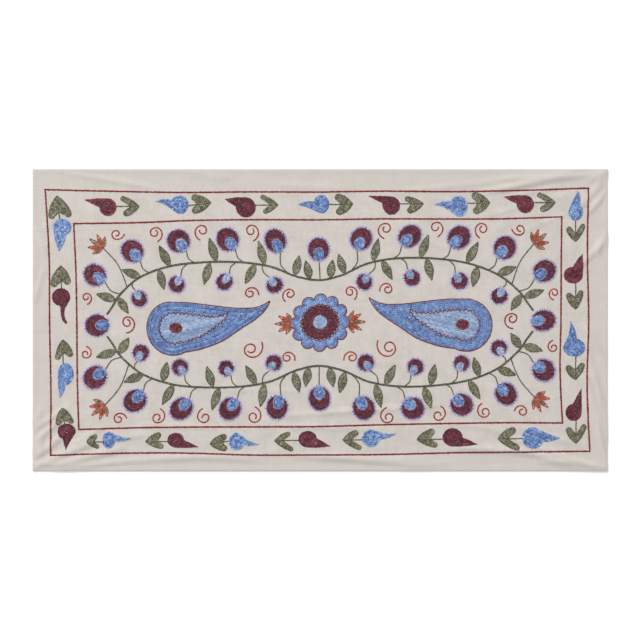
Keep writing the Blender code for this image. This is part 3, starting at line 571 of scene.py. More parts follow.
def modelStitch():
    # A closed loop of thread, 1 long, 1 wide and 1 high, with its tail at -X
    deselectAll()
    bpy.ops.mesh.primitive_circle_add(vertices=stitchShape["sides"], radius=0.5, fill_type="NGON")
    stitch = bpy.context.object
    stitch.name = "stitchModel"
    bpy.ops.object.mode_set(mode="EDIT")
    bpy.ops.mesh.select_all(action="SELECT")
    bpy.ops.mesh.extrude_region_move(TRANSFORM_OT_translate={"value": (0.0, 0.0, 1.0)})
    bpy.ops.transform.resize(value=stitchShape["ridge"], center_override=(0.0, 0.0, 1.0))
    bpy.ops.mesh.inset(thickness=stitchShape["inset"])
    bpy.ops.mesh.merge(type="CENTER")
    bpy.ops.transform.translate(value=stitchShape["dimple"])
    bpy.ops.mesh.select_all(action="SELECT")
    bpy.ops.mesh.normals_make_consistent(inside=False)
    bpy.ops.object.mode_set(mode="OBJECT")
    # Painted shade: points below the rim, at the loop's middle and at its foot, are marked to be darkened in
    # colour
    paintedShade = stitch.data.attributes.new("paintedShade", "FLOAT", "POINT")
    start, length = stitchShape["tailFrom"]
    for vertex in stitch.data.vertices:
        paintedShade.data[vertex.index].value = 1.0 if vertex.co.z < stitchShape["rimFrom"] else 0.0
        back = ramp((start - vertex.co.x) / length)
        vertex.co.y *= 1.0 - (1.0 - stitchShape["tailWidth"]) * back
        vertex.co.z *= 1.0 - (1.0 - stitchShape["tailHeight"]) * back
    bpy.ops.object.shade_smooth()
    stitch.hide_render = True
    return stitch


# The points beyond a place on one axis draw in towards a middle: axis, place, size left, middle
spikeShape = (
    (2, 0.6, (1.0, 0.55, 1.0), (0.0, 0.0, 1.0)),    # the ridge
    (0, 0.4, (1.0, 0.16, 0.55), (0.5, 0.0, 0.0)),   # the outer end
)


def modelSpike():
    # A straight stitch, 1 long, 1 wide and 1 high, that narrows to its outer end at +X
    deselectAll()
    bpy.ops.mesh.primitive_cube_add(size=1.0, location=(0.0, 0.0, 0.5))
    spike = bpy.context.object
    spike.name = "spikeModel"
    bpy.ops.object.transform_apply(location=True, rotation=False, scale=False)
    bpy.ops.object.mode_set(mode="EDIT")
    bpy.ops.mesh.select_mode(type="VERT")
    bpy.ops.mesh.select_all(action="DESELECT")
    bpy.ops.object.mode_set(mode="OBJECT")
    for axis, place, size, middle in spikeShape:
        for vertex in spike.data.vertices:
            vertex.select = vertex.co[axis] > place
        bpy.ops.object.mode_set(mode="EDIT")
        bpy.ops.transform.resize(value=size, center_override=middle)
        bpy.ops.mesh.select_all(action="DESELECT")
        bpy.ops.object.mode_set(mode="OBJECT")
    spike.hide_render = True
    return spike


stitchModel = modelStitch()
spikeModel = modelSpike()


def makeSewing():
    # Puts a stitch or a spike on every point, turned and sized by the point's own values
    tree = bpy.data.node_groups.new("sewing", "GeometryNodeTree")
    tree.interface.new_socket("Geometry", in_out="INPUT", socket_type="NodeSocketGeometry")
    tree.interface.new_socket("Geometry", in_out="OUTPUT", socket_type="NodeSocketGeometry")
    given, put = tree.nodes.new("NodeGroupInput"), tree.nodes.new("NodeGroupOutput")
    turn, size, isSpike = (
        addNode(tree, "GeometryNodeInputNamedAttribute", {"Name": name}, data_type=kind).outputs["Attribute"]
        for name, kind in (("turn", "FLOAT_VECTOR"), ("size", "FLOAT_VECTOR"), ("spike", "BOOLEAN")))
    isLoop = addNode(tree, "FunctionNodeBooleanMath", {0: isSpike}, operation="NOT").outputs[0]
    joined = tree.nodes.new("GeometryNodeJoinGeometry")
    for shape, chosen in ((stitchModel, isLoop), (spikeModel, isSpike)):
        model = addNode(tree, "GeometryNodeObjectInfo", {"Object": shape, "As Instance": True})
        place = addNode(tree, "GeometryNodeInstanceOnPoints",
                        {"Points": given.outputs[0], "Selection": chosen,
                         "Instance": model.outputs["Geometry"], "Rotation": turn, "Scale": size})
        tree.links.new(place.outputs["Instances"], joined.inputs[0])
    real = addNode(tree, "GeometryNodeRealizeInstances", {"Geometry": joined.outputs[0]})
    tree.links.new(real.outputs["Geometry"], put.inputs[0])
    return tree


sewing = makeSewing()

stitching = {
    "length": 0.0041,        # from one stitch to the next
    "width": 0.0047,
    "height": 0.0011,
    "rowPitch": 0.0030,
    "overlap": 1.45,         # each stitch starts inside the one before
    "shortestRow": 0.35,     # a row needs this share of a stitch
    "shortest": 0.75,        # and a stitch this share of its full length
    "aim": 0.4,              # a stitch points along this much of the row on each side of it
    "edgeDepth": 0.0020,     # a single row along an edge lies less deep than this
    "gapRows": (0.36, 0.7),  # where the rows that fill the gaps lie, in row pitches
    "gapClear": 0.6,         # how far their stitches stay off the full rows
    "gapApart": 0.8,         # and off each other
    "hatchAt": (0.2, 0.8),   # where the first of side by side rows may lie, in row pitches
    "hatchStep": 0.0007,     # such a row is followed in steps of this length
    "sink": 0.00012,         # the foot lies this far in the cloth
    "unevenTurn": 0.07,
    "unevenSize": 0.09,
    "mostUneven": 0.25,
    "unevenPlace": 0.00014,
    "unevenShade": 0.15,
    "unevenRow": 0.07,       # shade from one row to the next
}


class Sewn:
    # The stitches of one piece, gathered row by row
    def __init__(self):
        self.places, self.turns, self.sizes = [], [], []
        self.shades, self.threads, self.spikes = [], [], []

    def add(self, places, turns, thread, length, width, height, shade, spike=False):
        count, most = len(places), stitching["mostUneven"]
        if count == 0:
            return
        uneven = rng.normal(1.0, stitching["unevenSize"], (count, 3)).clip(1.0 - most, 1.0 + most)
        self.places.append(places + rng.normal(0.0, stitching["unevenPlace"], (count, 2)))
        self.turns.append(turns + rng.normal(0.0, stitching["unevenTurn"], count))
        self.sizes.append(uneven * (length, width, height))
        self.shades.append(shade)
        self.threads += [thread] * count
        self.spikes += [spike] * count


def sewRow(sewn, row, thread, closed=False, length=stitching["length"], width=stitching["width"],
           height=stitching["height"], shade=0.5, spread=stitching["unevenShade"], keep=None):
    # One row of chain stitch along a line. keep says which stitches stay.
    row = np.asarray(row, dtype=float)
    if closed:
        row = np.vstack([row, row[:1]])
    run = distances(row)
    whole = run[-1]
    if whole < length * stitching["shortestRow"]:
        return
    count = max(int(round(whole / length)), 1)
    step = whole / count
    at = (np.arange(count) + (rng.uniform(0.0, 1.0) if closed else 0.5)) * step

    def along(distance):
        distance = distance % whole if closed else np.clip(distance, 0.0, whole)
        return pointsAt(distance, run, row)

    ahead = along(at + step * stitching["aim"]) - along(at - step * stitching["aim"])
    places, turns = along(at), np.arctan2(ahead[:, 1], ahead[:, 0])
    uneven = rng.normal(0.0, spread, count) + rng.normal(0.0, stitching["unevenRow"])
    shades = np.clip(shade + uneven, 0.0, 1.0)
    if keep is not None:
        stays = keep(places)
        places, turns, shades = places[stays], turns[stays], shades[stays]
    step = max(step, stitching["shortest"] * length)
    sewn.add(places, turns, thread, step * stitching["overlap"], width, height, shades)


insetShape = {
    "step": 0.0008,      # between the points of a line
    "slack": 0.00012,    # a point may lie this much nearer to the edge than it should
    "break": 0.0032,     # a line with a gap wider than this falls into runs
    "close": 0.0045,     # a run whose ends are nearer than this is closed
}


def insetRows(outline, depth):
    # The line that lies a given depth inside a closed shape, in one or more runs
    outline = anticlockwise(evenly(outline, insetShape["step"]))
    ahead = np.roll(outline, -1, axis=0) - outline
    leaving = np.arctan2(ahead[:, 1], ahead[:, 0])
    arriving = np.roll(leaving, 1)
    bend = (leaving - arriving + math.pi) % (2.0 * math.pi) - math.pi
    # Round a corner that points inwards, the line is an arc about it
    count = 1 + (np.maximum(-bend, 0.0) * depth / insetShape["step"]).astype(int)
    corner = np.repeat(np.arange(len(outline)), count)
    first = np.repeat(np.cumsum(count) - count, count)
    share = (np.arange(len(corner)) - first + 0.5) / count[corner]
    facing = arriving[corner] + bend[corner] * share
    moved = outline[corner] + np.column_stack([-np.sin(facing), np.cos(facing)]) * depth
    apart = moved[:, None, :] - outline[None, :, :]
    gap = np.sqrt(np.min(np.sum(apart * apart, axis=2), axis=1))
    kept = moved[(gap > depth - insetShape["slack"]) & isInside(moved, outline)]
    if len(kept) < 3:
        return []
    jumps = np.hypot(*(np.roll(kept, -1, axis=0) - kept).T)
    breaks = np.flatnonzero(jumps > insetShape["break"])
    if len(breaks) == 0:
        return [(kept, True)]
    kept = np.roll(kept, -(breaks[-1] + 1), axis=0)
    cuts = np.sort((breaks - breaks[-1] - 1) % len(kept)) + 1
    runs = [run for run in np.split(kept, cuts) if len(run) > 1]
    return [(run, np.hypot(*(run[-1] - run[0])) < insetShape["close"]) for run in runs]


def fillRings(sewn, outline, thread, first=0.5, pitch=stitching["rowPitch"], deepest=1.0, keep=None,
              **stitch):
    # Rows that follow the outline, each inside the last. first is where the first one lies, in
    # row pitches.
    lines, fillers = [], []

    def inGap(places):
        # Which places of a short row lie in a gap that the full rows have left
        chosen = keep(places) if keep else np.ones(len(places), dtype=bool)
        full = np.vstack(lines)
        for number in np.flatnonzero(chosen):
            place = places[number]
            off = np.min(np.hypot(*(full - place).T))
            apart = min((math.dist(place, other) for other in fillers), default=1.0)
            chosen[number] = off > pitch * stitching["gapClear"] and apart > pitch * stitching["gapApart"]
            if chosen[number]:
                fillers.append(place)
        return chosen

    depth = first * pitch
    while depth < deepest:
        rows = insetRows(outline, depth)
        for row, closed in rows:
            sewRow(sewn, row, thread, closed, keep=keep, **stitch)
            lines.append(row)
        if lines and depth > first * pitch:
            for share in stitching["gapRows"]:
                for row, closed in insetRows(outline, depth - pitch * share):
                    sewRow(sewn, row, thread, closed, keep=inGap, **stitch)
        if not rows:
            break
        depth += pitch


def sewEdge(sewn, outline, thread, first=0.5, **stitch):
    # A single row just inside an edge
    fillRings(sewn, outline, thread, first, deepest=stitching["edgeDepth"], **stitch)


def fillHatch(sewn, outline, thread, turn, inset, pitch=stitching["rowPitch"], wave=0.0, waveLength=0.03,
              **stitch):
    # Side by side rows at one angle, straight or wavy, cut off a little inside the outline
    for shape, _ in insetRows(outline, inset):
        centre = shape.mean(axis=0)
        reach = np.max(np.hypot(*(shape - centre).T))
        u = np.arange(-reach, reach, stitching["hatchStep"])
        for v in np.arange(-reach + pitch * rng.uniform(*stitching["hatchAt"]), reach, pitch):
            bent = v + wave * np.sin(2.0 * math.pi * u / waveLength)
            line = turnedAbout(centre, u, bent, turn)
            within = np.concatenate([[0], isInside(line, shape).astype(int), [0]])
            edges = np.flatnonzero(np.diff(within))
            for start, end in zip(edges[::2], edges[1::2]):
                if end - start > 2:
                    sewRow(sewn, line[start:end], thread, **stitch)


leafStitch = {
    "turn": 60,     # of the slanting rows against the leaf, in degrees
    "rim": {"first": 0.3, "length": 0.0036, "width": 0.0036, "shade": 0.35},
    "rows": {"inset": 0.0018, "pitch": 0.0034, "length": 0.0040, "width": 0.0041, "shade": 0.45},
}


def sewLeaf(sewn, outline, turn):
    # One row round the edge, and slanting rows within that leave a little cloth between them
    sewEdge(sewn, outline, "olive", **leafStitch["rim"])
    fillHatch(sewn, outline, "olive", turn, **leafStitch["rows"])


def finishPiece(sewn, name, nodes):
    # Sews the gathered stitches, lays them on the cloth and gives them their threads
    places = np.vstack(sewn.places)
    count = len(places)
    mesh = bpy.data.meshes.new(name)
    mesh.vertices.add(count)
    mesh.vertices.foreach_set("co", np.column_stack([places, np.zeros(count)]).ravel())
    piece = bpy.data.objects.new(name, mesh)
    bpy.context.scene.collection.objects.link(piece)
    turns = np.column_stack([np.zeros((count, 2)), np.concatenate(sewn.turns)])
    used = sorted(set(sewn.threads))
    numbers = np.array([used.index(thread) for thread in sewn.threads])
    sizes, shades = np.vstack(sewn.sizes), np.concatenate(sewn.shades)
    for label, kind, key, values in (("turn", "FLOAT_VECTOR", "vector", turns.ravel()),
                                     ("size", "FLOAT_VECTOR", "vector", sizes.ravel()),
                                     ("shade", "FLOAT", "value", shades),
                                     ("thread", "INT", "value", numbers),
                                     ("spike", "BOOLEAN", "value", sewn.spikes)):
        mesh.attributes.new(label, kind, "POINT").data.foreach_set(key, values)
    deselectAll()
    piece.select_set(True)
    bpy.context.view_layer.objects.active = piece
    piece.modifiers.new("sewing", "NODES").node_group = sewing
    bpy.ops.object.modifier_apply(modifier="sewing")

    mesh = piece.data
    spots = readSpots(mesh)
    spots[:, 2] += topOfCloth(spots[:, 0], spots[:, 1]) - stitching["sink"]
    mesh.vertices.foreach_set("co", spots.ravel())
    mesh.materials.clear()
    for thread in used:
        mesh.materials.append(threadMaterials[thread])
    # Each face takes its thread from its first point
    corner, point, number = (np.empty(len(part), dtype=np.int32)
                             for part in (mesh.polygons, mesh.loops, mesh.vertices))
    mesh.polygons.foreach_get("loop_start", corner)
    mesh.loops.foreach_get("vertex_index", point)
    mesh.attributes["thread"].data.foreach_get("value", number)
    mesh.polygons.foreach_set("material_index", number[point[corner]])
    for attribute in ("turn", "size", "thread", "spike"):
        if attribute in mesh.attributes:
            mesh.attributes.remove(mesh.attributes[attribute])
    mesh.update()
    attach(piece, "root")
    if nodes:
        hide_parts(*nodes)
    triangles = sum(len(p.vertices) - 2 for p in mesh.polygons)
    print("sewn:", name, count, "stitches,", triangles, "triangles")
    return piece


redLines = {
    "stitch": {"width": 0.0052, "length": 0.0036, "height": 0.0008, "shade": 0.45, "spread": 0.08},
    "overrun": 0.0017,
    "steps": 12,
}
# How far the hand-drawn lines stray from straight, at even steps on the way from each corner to
# the next: + outwards
outerBows = (
    (-0.0040, -0.0070, -0.0062, -0.0070, -0.0055, -0.0070, -0.0048),
    (-0.0030, -0.0010, -0.0055),
    (0.0003, 0.0010, 0.0036, 0.0034, 0.0026, -0.0028, -0.0034),
    (-0.0035, -0.0035, -0.0055),
)
innerBows = (
    (0.0, 0.0034, 0.0030, 0.0008, 0.0010, -0.0010, -0.0026),
    (-0.0016, -0.0025, -0.0048),
    (-0.0023, -0.0023, -0.0014, 0.0005, -0.0004, -0.0020, -0.0022),
    (0.0004, -0.0013, -0.0022),
)


def makeLine(name, corners, bows):
    sewn = Sewn()
    for number, strays in enumerate(bows):
        start, end = corners[number], corners[(number + 1) % 4]
        along = (end - start) / np.hypot(*(end - start))
        side = np.array([-along[1], along[0]])
        # The long sides run over the corners, and the short ones stop at them
        inset = along * redLines["overrun"] * (1 if number % 2 else -1)
        run = np.linspace(0.0, 1.0, len(strays) + 2)[:, None]
        path = (start + inset) * (1.0 - run) + (end - inset) * run
        path = path + side * np.array([0.0, *strays, 0.0])[:, None]
        sewRow(sewn, smoothPath(path, redLines["steps"]), "red", **redLines["stitch"])
    nodes = [f"{name}_{number + 1}" for number in range(len(bows))]
    finishPiece(sewn, name + "_stitches", nodes)


makeLine("line_outer", outerLine, outerBows)
makeLine("line_inner", innerLine, innerBows)

# The middle line of the border along each side: axis, start, end
borderSides = {
    "top": (0, (-0.543, 0.2500), (0.535, 0.2600)),
    "bottom": (0, (-0.532, -0.2700), (0.537, -0.2610)),
    "left": (1, (-0.5640, -0.242), (-0.5745, 0.212)),
    "right": (1, (0.5655, -0.229), (0.5645, 0.228)),
}
# A spray's bud and leaves are given in shares of its length: run goes from its tail to its tip,
# and the others lie beside that line, + on the left. bow is how far the bud's long edge swells.
Bud = namedtuple("Bud", "tail notch waist left right end bow")
Lobe = namedtuple("Lobe", "run side radius")
Pair = namedtuple("Pair", "fork left right tip")
leafPairs = {
    "open": Pair(0.840, Lobe(0.690, 0.142, 0.045), Lobe(0.755, -0.125, 0.055), 0.0),
    "thin": Pair(0.850, Lobe(0.700, 0.152, 0.041), Lobe(0.750, -0.115, 0.042), 0.0),
    "full": Pair(0.785, Lobe(0.737, 0.128, 0.064), Lobe(0.755, -0.130, 0.061), 0.0),
    "heart": Pair(0.740, Lobe(0.700, 0.145, 0.058), Lobe(0.710, -0.080, 0.061), 0.050),
    "low": Pair(0.770, Lobe(0.696, 0.090, 0.045), Lobe(0.748, -0.118, 0.054), 0.0),
    "wide": Pair(0.690, Lobe(0.645, 0.140, 0.064), Lobe(0.668, -0.150, 0.061), 0.040),
    "broad": Pair(0.725, Lobe(0.690, 0.126, 0.064), Lobe(0.725, -0.102, 0.060), 0.0),
    "short": Pair(0.820, Lobe(0.755, 0.100, 0.046), Lobe(0.798, -0.120, 0.052), -0.015),
}
# side, tail, tip, thread, turn (1 where the bud's notch is on the right), bud, leaves
sprays = (
    ("top", -0.519, -0.398, "burgundy", 1, Bud(0.125, 0.26, -0.01, 0.147, -0.172, 0.572, 0.014), "open"),
    ("top", -0.364, -0.239, "blue", -1, Bud(0.084, 0.30, 0.11, 0.178, -0.14, 0.587, -0.03), "heart"),
    ("top", -0.210, -0.091, "burgundy", 1, Bud(0.116, 0.20, -0.02, 0.147, -0.225, 0.57, 0.016), "thin"),
    ("top", -0.049, 0.073, "blue", -1, Bud(0.006, 0.30, 0.056, 0.172, -0.156, 0.563, -0.01), "full"),
    ("top", 0.108, 0.230, "burgundy", 1, Bud(0.147, 0.24, 0.02, 0.135, -0.197, 0.563, 0.006), "low"),
    ("top", 0.252, 0.376, "blue", -1, Bud(-0.02, 0.31, 0.047, 0.13, -0.24, 0.594, -0.035), "full"),
    ("top", 0.406, 0.521, "burgundy", 1, Bud(0.116, 0.244, -0.016, 0.14, -0.20, 0.578, 0.014), "open"),
    ("bottom", -0.418, -0.517, "blue", -1, Bud(-0.069, 0.36, -0.02, 0.147, -0.228, 0.634, -0.02), "short"),
    ("bottom", -0.270, -0.387, "burgundy", 1, Bud(0.109, 0.26, -0.02, 0.115, -0.163, 0.572, 0.012), "low"),
    ("bottom", -0.135, -0.245, "blue", -1, Bud(0.072, 0.31, 0.085, 0.188, -0.163, 0.603, -0.03), "heart"),
    ("bottom", 0.022, -0.102, "burgundy", 1, Bud(0.109, 0.234, -0.03, 0.125, -0.166, 0.56, 0.014), "thin"),
    ("bottom", 0.168, 0.049, "blue", -1, Bud(-0.109, 0.31, 0.0, 0.134, -0.188, 0.63, -0.03), "open"),
    ("bottom", 0.347, 0.212, "burgundy", 1, Bud(0.088, 0.234, -0.02, 0.119, -0.178, 0.563, 0.014), "low"),
    ("bottom", 0.530, 0.391, "blue", -1, Bud(-0.006, 0.275, 0.053, 0.156, -0.178, 0.60, -0.015), "open"),
    ("left", 0.152, 0.276, "blue", 1, Bud(0.025, 0.30, -0.11, 0.125, -0.20, 0.572, 0.022), "wide"),
    ("left", -0.007, 0.121, "burgundy", -1, Bud(-0.094, 0.30, 0.012, 0.166, -0.147, 0.603, 0.0), "broad"),
    ("left", -0.172, -0.042, "blue", 1, Bud(0.072, 0.22, -0.03, 0.094, -0.172, 0.588, 0.012), "low"),
    ("left", -0.287, -0.192, "burgundy", -1, Bud(-0.016, 0.27, 0.047, 0.166, -0.25, 0.61, -0.012), "wide"),
    ("right", 0.285, 0.172, "blue", -1, Bud(0.053, 0.28, 0.09, 0.14, -0.14, 0.572, 0.014), "open"),
    ("right", 0.146, 0.022, "burgundy", 1, Bud(0.12, 0.23, -0.053, 0.125, -0.21, 0.525, 0.014), "low"),
    ("right", -0.002, -0.133, "blue", -1, Bud(-0.088, 0.31, 0.016, 0.156, -0.21, 0.60, -0.03), "short"),
    ("right", -0.152, -0.274, "burgundy", 1, Bud(0.10, 0.275, -0.053, 0.10, -0.188, 0.58, 0.004), "open"),
)
sprayShape = {
    "tailSwell": {"blue": 0.024, "burgundy": 0.008},   # of the tail's short edge
    "stemLean": 0.5,          # from here on the stem leans towards the leaves' tip
    # A leaf's outer side: share of its length and of its end's radius
    "flank": ((0.30, 0.72), (0.65, 1.10)),
    "lobeOverlap": 0.0035,
    "stemWidth": 0.0032,
    "stemLap": 0.0015,
    "pointSteps": 4,
    "pointWidth": 0.0032,
    "curled": ("left", 2),    # the one bud with a thin, curled tail
    "curl": ((-0.008, -0.080), (0.045, -0.040), (0.110, -0.016), (0.190, -0.008), (0.270, -0.014),
             (0.350, -0.034)),
    "curlWidths": (0.030, 0.052, 0.058, 0.064, 0.084, 0.150),
}


def onSide(side, place):
    axis, start, end = borderSides[side]
    start, end = np.array(start), np.array(end)
    return start + (end - start) * (place - start[axis]) / (end[axis] - start[axis])


def budOutline(bud, turn, swell):
    # A round body that runs on into a pointed tail, with a notch between them on one side. It is
    # drawn with the notch on the right, and turned over at the end if it is on the left.
    centre, reach = (bud.notch + bud.end) / 2.0, (bud.end - bud.notch) / 2.0
    left, right = (bud.left, bud.right) if turn > 0 else (-bud.right, -bud.left)
    middle, half = (left + right) / 2.0, (left - right) / 2.0
    tip, notch = (0.0, bud.tail * turn), (bud.notch, bud.waist * turn)
    # The long edge meets the body where a straight edge would touch it, or further if it is bowed
    away = np.array([-centre / reach, (tip[1] - middle) / half])
    far = np.hypot(*away)
    straight = math.sqrt(far * far - 1.0) * reach
    touch = math.atan2(away[1], away[0]) % (2.0 * math.pi) - math.acos(1.0 / far) - 4.0 * bud.bow / straight
    angle = np.linspace(touch, -math.pi / 2.0, 30)
    body = np.column_stack([centre + reach * np.cos(angle), middle + half * np.sin(angle)])
    angle = np.linspace(-math.pi / 2.0, -math.pi, 8)[1:]
    gap = np.column_stack([centre + reach * np.cos(angle), notch[1] + (notch[1] - right) * np.sin(angle)])
    bowed = (np.array(tip) + body[0]) / 2.0 + (0.0, bud.bow)
    longEdge = smoothPath([tip, bowed, body[0]], 8)
    shortEdge = smoothPath([notch, (notch[0] / 2.0, (notch[1] + tip[1]) / 2.0 - swell), tip], 8)
    return np.vstack([longEdge[:-1], body, gap, shortEdge[1:-1]]) * (1, turn)


def forkOf(pair):
    # Where the stem meets the leaves
    lean = sprayShape["stemLean"]
    return pair.fork, pair.tip * (pair.fork - lean) / (1.0 - lean)


def lobeOutline(pair, flip):
    # One leaf of a pair: its outer flank, round end, and the straight way back to the fork
    lobe = pair.left if flip > 0 else pair.right
    overlap = sprayShape["lobeOverlap"]
    tip = np.array([1.0 - overlap * (1 - flip), pair.tip - flip * overlap])
    fork = np.array(forkOf(pair)) - (0.0, flip * overlap)
    end = np.array([lobe.run, lobe.side])
    back = (end - tip) / np.hypot(*(end - tip))
    outer = np.array([back[1], -back[0]]) * flip
    angle = np.linspace(0.0, math.pi, 16)[:, None]
    cap = end + (outer * np.cos(angle) + back * np.sin(angle)) * lobe.radius
    flank = [tip + (end - tip) * share + outer * lobe.radius * half for share, half in sprayShape["flank"]]
    return np.vstack([smoothPath([tip, *flank, cap[0]], 6)[:-1], cap, [fork]])


def ribbon(points, widths):
    # The outline of a strip along a smooth line through the points
    steps = 4
    path = smoothPath(points, steps)
    width = np.interp(np.arange(len(path)) / steps, np.arange(len(widths)), widths)
    side = leftOf(np.gradient(path, axis=0)) * width[:, None] / 2.0
    return np.vstack([path + side, (path - side)[::-1]])


def sewSpray(sewn, number, side, tailAt, tipAt, thread, turn, bud, pair):
    tail, tip = onSide(side, tailAt), onSide(side, tipAt)
    along = tip - tail
    across = np.array([-along[1], along[0]])
    length = np.hypot(*along)
    pair = leafPairs[pair]

    def place(points):
        points = np.asarray(points)
        return tail + points[:, :1] * along + points[:, 1:] * across

    if (side, number) == sprayShape["curled"]:
        middle = ((bud.notch + bud.end) / 2.0, (bud.left + bud.right) / 2.0)
        outline = oval(middle, (bud.end - bud.notch) / 2.0, (bud.left - bud.right) / 2.0, 0.0)
        fillRings(sewn, place(ribbon(sprayShape["curl"], sprayShape["curlWidths"])), thread)
    else:
        outline = budOutline(bud, turn, sprayShape["tailSwell"][thread])
        # The tail's point is too narrow for two rows
        point = [(outline[k] + outline[-k]) / 2.0 for k in range(sprayShape["pointSteps"])]
        sewRow(sewn, place(point), thread, width=sprayShape["pointWidth"])
    fillRings(sewn, place(outline), thread)
    lap = sprayShape["stemLap"] / length
    forkRun, forkSide = forkOf(pair)
    stem = place([(bud.end - lap, 0.0), (forkRun + lap, forkSide)])
    sewRow(sewn, stem, "stem", width=sprayShape["stemWidth"])
    for flip in (1, -1):
        turn = math.atan2(along[1], along[0]) + flip * math.radians(leafStitch["turn"])
        sewLeaf(sewn, place(lobeOutline(pair, flip)), turn)


for colour in ("blue", "burgundy"):
    sewn = Sewn()
    nodes, counts = [], {}
    for side, *spray in sprays:
        counts[side] = counts.get(side, 0) + 1
        if spray[2] == colour:
            nodes.append(f"spray_{side}_{counts[side]}")
            sewSpray(sewn, counts[side], side, *spray)
    finishPiece(sewn, f"sprays_{colour}_stitches", nodes)

# The field inside the inner line is drawn for its upper right quarter
fieldPlace = {"centre": (-0.001, -0.0075), "tilt": math.radians(0.75), "drift": 0.0026, "driftReach": 0.085}


def inField(points, flipX=1, flipY=1):
    # A slow drift keeps the quarters from being exact copies, as in a design drawn by hand
    points = np.asarray(points, dtype=float).reshape(-1, 2) * (flipX, flipY)
    x, y = points[:, 0], points[:, 1]
    reach, tilt = fieldPlace["driftReach"], fieldPlace["tilt"]
    x, y = (x + fieldPlace["drift"] * np.sin((x + 1.3 * y) / reach + 0.6),
            y + fieldPlace["drift"] * np.sin((y - 0.9 * x) / reach + 2.1))
    return turnedAbout(fieldPlace["centre"], x, y, tilt)


# A flower's middle, and where its stem leaves the main stem
Flower = namedtuple("Flower", "x y fromX fromY")
discs = (
    Flower(0.097, 0.186, 0.070, 0.113),
    Flower(0.203, 0.188, 0.165, 0.138),
    Flower(0.309, 0.184, 0.272, 0.136),
    Flower(0.409, 0.163, 0.372, 0.114),
    Flower(0.496, 0.112, 0.440, 0.068),
)
middleDisc = Flower(0.0, 0.166, 0.0, 0.0955)
endDisc = Flower(0.494, 0.0, 0.400, 0.0)
blossoms = (
    Flower(0.100, 0.088, 0.128, 0.134),
    Flower(0.208, 0.096, 0.184, 0.139),
    Flower(0.312, 0.090, 0.288, 0.134),
    Flower(0.398, 0.058, 0.412, 0.092),
)
discShape = {
    "radius": 0.0275,        # to the tips of the fringe
    "long": 1.09,
    "body": 0.0242,
    "heartLong": 0.0160,
    "heartWide": 0.0122,
    "heartThread": "blue",
    "teeth": 46,
}
blossomShape = {
    "radius": 0.0215,
    "long": 1.0,
    "body": 0.0184,
    "heartLong": 0.0110,
    "heartWide": 0.0086,
    "heartThread": "lightBlue",
    "teeth": 35,
}
heartInset = 0.0020
heartEdge = {"first": 0.3, "width": 0.0024, "height": 0.0014, "shade": 0.4}
# The fringe's teeth, from their tips inwards: thread, where the outer end lies, length, width, height
fringe = (
    ("lavender", -0.0016, 0.0062, 0.0040, 0.0011),
    ("violet", 0.0012, 0.0048, 0.0034, 0.0014),
)
shorterTooth = 0.0007     # every other tooth is this much shorter


def notIn(shape):
    # Keeps the stitches that lie outside a shape
    return lambda places: ~isInside(places, shape)


def sewFlower(sewn, flower, shape, flipX, flipY):
    x, y = flower.x, flower.y
    turn = math.atan2(flower.fromY - y, flower.fromX - x)
    inner = shape["radius"] * shape["long"] - shape["heartLong"] - heartInset
    centre = (x + inner * math.cos(turn), y + inner * math.sin(turn))
    heart = inField(oval(centre, shape["heartLong"], shape["heartWide"], turn), flipX, flipY)
    body = inField(oval((x, y), shape["body"] * shape["long"], shape["body"], turn), flipX, flipY)
    fillRings(sewn, body, "burgundy", shade=0.48, keep=notIn(heart))
    sewEdge(sewn, heart, "lavender", **heartEdge)
    fillRings(sewn, heart, shape["heartThread"], first=1.0, height=0.0015)
    for thread, outer, length, width, height in fringe:
        number = np.arange(shape["teeth"])
        spoke = (number + rng.uniform()) * 2.0 * math.pi / shape["teeth"]
        reach = shape["radius"] - outer - length / 2.0 - shorterTooth * (number % 2)
        teeth = turnedAbout((x, y), reach * shape["long"] * np.cos(spoke), reach * np.sin(spoke), turn)
        places = inField(teeth, flipX, flipY)
        spoke = spoke + turn
        pointing = np.arctan2(flipY * np.sin(spoke), flipX * np.cos(spoke)) + fieldPlace["tilt"]
        outside = ~isInside(places, heart)
        shades = np.clip(rng.normal(0.5, 0.2, int(outside.sum())), 0.0, 1.0)
        sewn.add(places[outside], pointing[outside], thread, length, width, height, shades, spike=True)


for row, flipY in (("upper", 1), ("lower", -1)):
    sewn = Sewn()
    nodes = [f"disc_{row}_middle"]
    for half, flipX in (("left", -1), ("right", 1)):
        for number, flower in enumerate(discs, 1):
            sewFlower(sewn, flower, discShape, flipX, flipY)
            nodes.append(f"disc_{row}_{half}_{number}")
    sewFlower(sewn, middleDisc, discShape, 1, flipY)
    endHalf, endFlip = ("left", -1) if row == "upper" else ("right", 1)
    sewFlower(sewn, endDisc, discShape, endFlip, 1)
    nodes.append(f"disc_end_{endHalf}")
    finishPiece(sewn, f"discs_{row}_stitches", nodes)

vineShape = {
    "mainWidth": 0.0046,
    "sideWidth": 0.0032,
    "bend": 0.17,
    "leafWidth": 0.019,
    "leafFullness": 0.85,
    "fanTurn": 38,
    "fanLeafWidth": 0.0115,
    "fanLap": 0.003,       # the fan's stem ends this far inside it
    "stemLap": 0.001,      # and the others end this far inside their flowers
    "mainStitch": {"width": 0.0029, "shade": 0.55},
    "fanRim": {"length": 0.0034, "width": 0.0030},
}
mainStem = ((0.0, 0.096), (0.052, 0.106), (0.108, 0.129), (0.175, 0.139), (0.255, 0.138), (0.330, 0.128),
            (0.395, 0.104), (0.440, 0.068), (0.460, 0.040), (0.4720, 0.0235))
